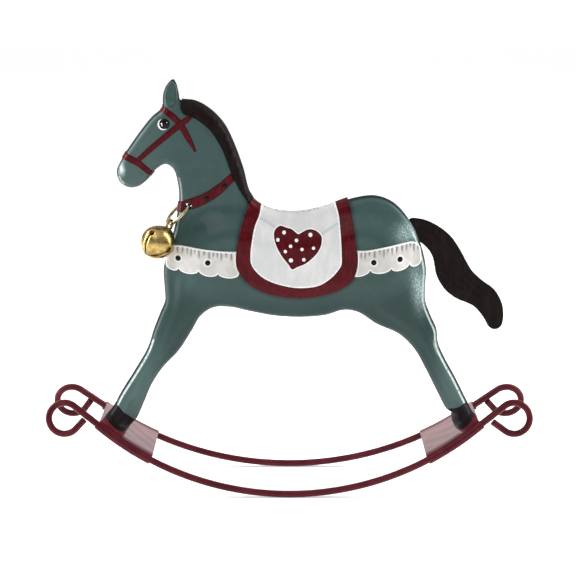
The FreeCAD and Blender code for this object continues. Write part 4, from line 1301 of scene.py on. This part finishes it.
def bell(metal):
    """Flat-sided jingle bell: four petals, with crossed slots between them that end in round holes."""
    low, wire, across = hanging_frame()
    pole = unit(low + BELL_SWAY)
    first = math.cos(BELL_TURN) * wire + math.sin(BELL_TURN) * across
    first = unit(first - pole * first.dot(pole))
    second = np.cross(pole, first)
    axes = (pole, first, second)

    def way(polar, turn):
        ring = np.cos(turn)[:, None] * first + np.sin(turn)[:, None] * second
        return np.cos(polar)[:, None] * pole + np.sin(polar)[:, None] * ring

    def flattened(ways):
        return sum(np.abs(ways @ axis) ** BELL_POWER for axis in axes) ** (-1 / BELL_POWER)

    centre = middle_of("bell_body") + low * BELL_DROP
    slots = bell_slots()
    region = Region([disc_loop((0, 0), BELL_R * BELL_CAP_ANGLE, 150)], [slots])
    flat, tiles = region.tiles((0.12, 0.3, 0.55), (), 0.42)
    polar = np.linalg.norm(flat, axis=1) / BELL_R
    turn = np.arctan2(flat[:, 1], flat[:, 0])
    sunk = BELL_LIP_SINK * (1 - ease(-edge_distance(flat, slots) / 0.6))
    skins = []
    for depth in (0.0, BELL_WALL):
        ways = way(polar, turn)
        skins.append(centre + ways * (BELL_R * flattened(ways) - sunk - depth)[:, None])
    points, faces = skinned(flat, tiles, *skins)
    add_mesh("bell_petals", points, faces, metal, "bell", ["bell_body"], "bell_brass")
    rim = np.linspace(0, 2 * math.pi, BELL_CAP_SIDES, endpoint=False)
    rows = []
    for angle, swell in BELL_CAP_ROWS:
        ways = way(np.full(BELL_CAP_SIDES, angle), rim)
        rows.append(centre + ways * (BELL_R * flattened(ways) + swell)[:, None])
    faces = ring_faces(len(rows), BELL_CAP_SIDES)
    add_mesh("bell_cap", np.vstack(rows), faces, metal, "bell", slot="bell_brass")
    loop_centre = middle_of("bell_body") - low * BELL_TO_LOOP
    turn = np.linspace(0, 2 * math.pi, 48, endpoint=False)
    aside = math.cos(BELL_LOOP_TURN) * across + math.sin(BELL_LOOP_TURN) * wire
    path = loop_centre + BELL_LOOP_RADIUS * (np.cos(turn)[:, None] * low + np.sin(turn)[:, None] * aside)
    points, faces = tube(path, BELL_LOOP_WIRE_R, WIRE_SIDES, closed=True)
    add_mesh("bell_eye", points, faces, metal, "bell", ["bell_loop"], "bell_brass")


def main():
    camera()
    studio()
    teal = body_enamel("teal_enamel", 0.0)
    ear_teal = body_enamel("ear_enamel", 0.5)
    burgundy = strap_enamel()
    rocker_paint = rocker_enamel()
    white = cloth_enamel()
    lace_white = lace_enamel()
    brown = mane_enamel()
    black = stud_enamel()
    dots = dot_enamel()
    gold = hanging_metal("bell_brass", (148, 121, 68), (196, 170, 110), 0.2)
    silver = hanging_metal("ring_metal", (140, 128, 100), (205, 196, 168), 0.16)
    body_shells(teal)
    ear_leaves(ear_teal)
    mane(brown)
    saddle_cloth(white, burgundy, dots)
    lace("breast_lace_left", BREAST_TOP, BREAST_LOBES, lace_white)
    lace("rump_lace_left", RUMP_TOP, RUMP_LOBES, lace_white)
    neck_strap(burgundy)
    bridle(burgundy, black, dots)
    tail(brown)
    rocker_wires(rocker_paint)
    foot_plate("front_foot_bridge", -1, "front_foot_plate", rocker_paint)
    foot_plate("rear_foot_bridge", 1, "rear_foot_plate", rocker_paint)
    jump_ring(silver)
    bell(gold)
    studs(black)
    pellet = frame["nodes"]["bell_pellet"].data
    pellet.materials.clear()
    pellet.materials.append(silver)


main()
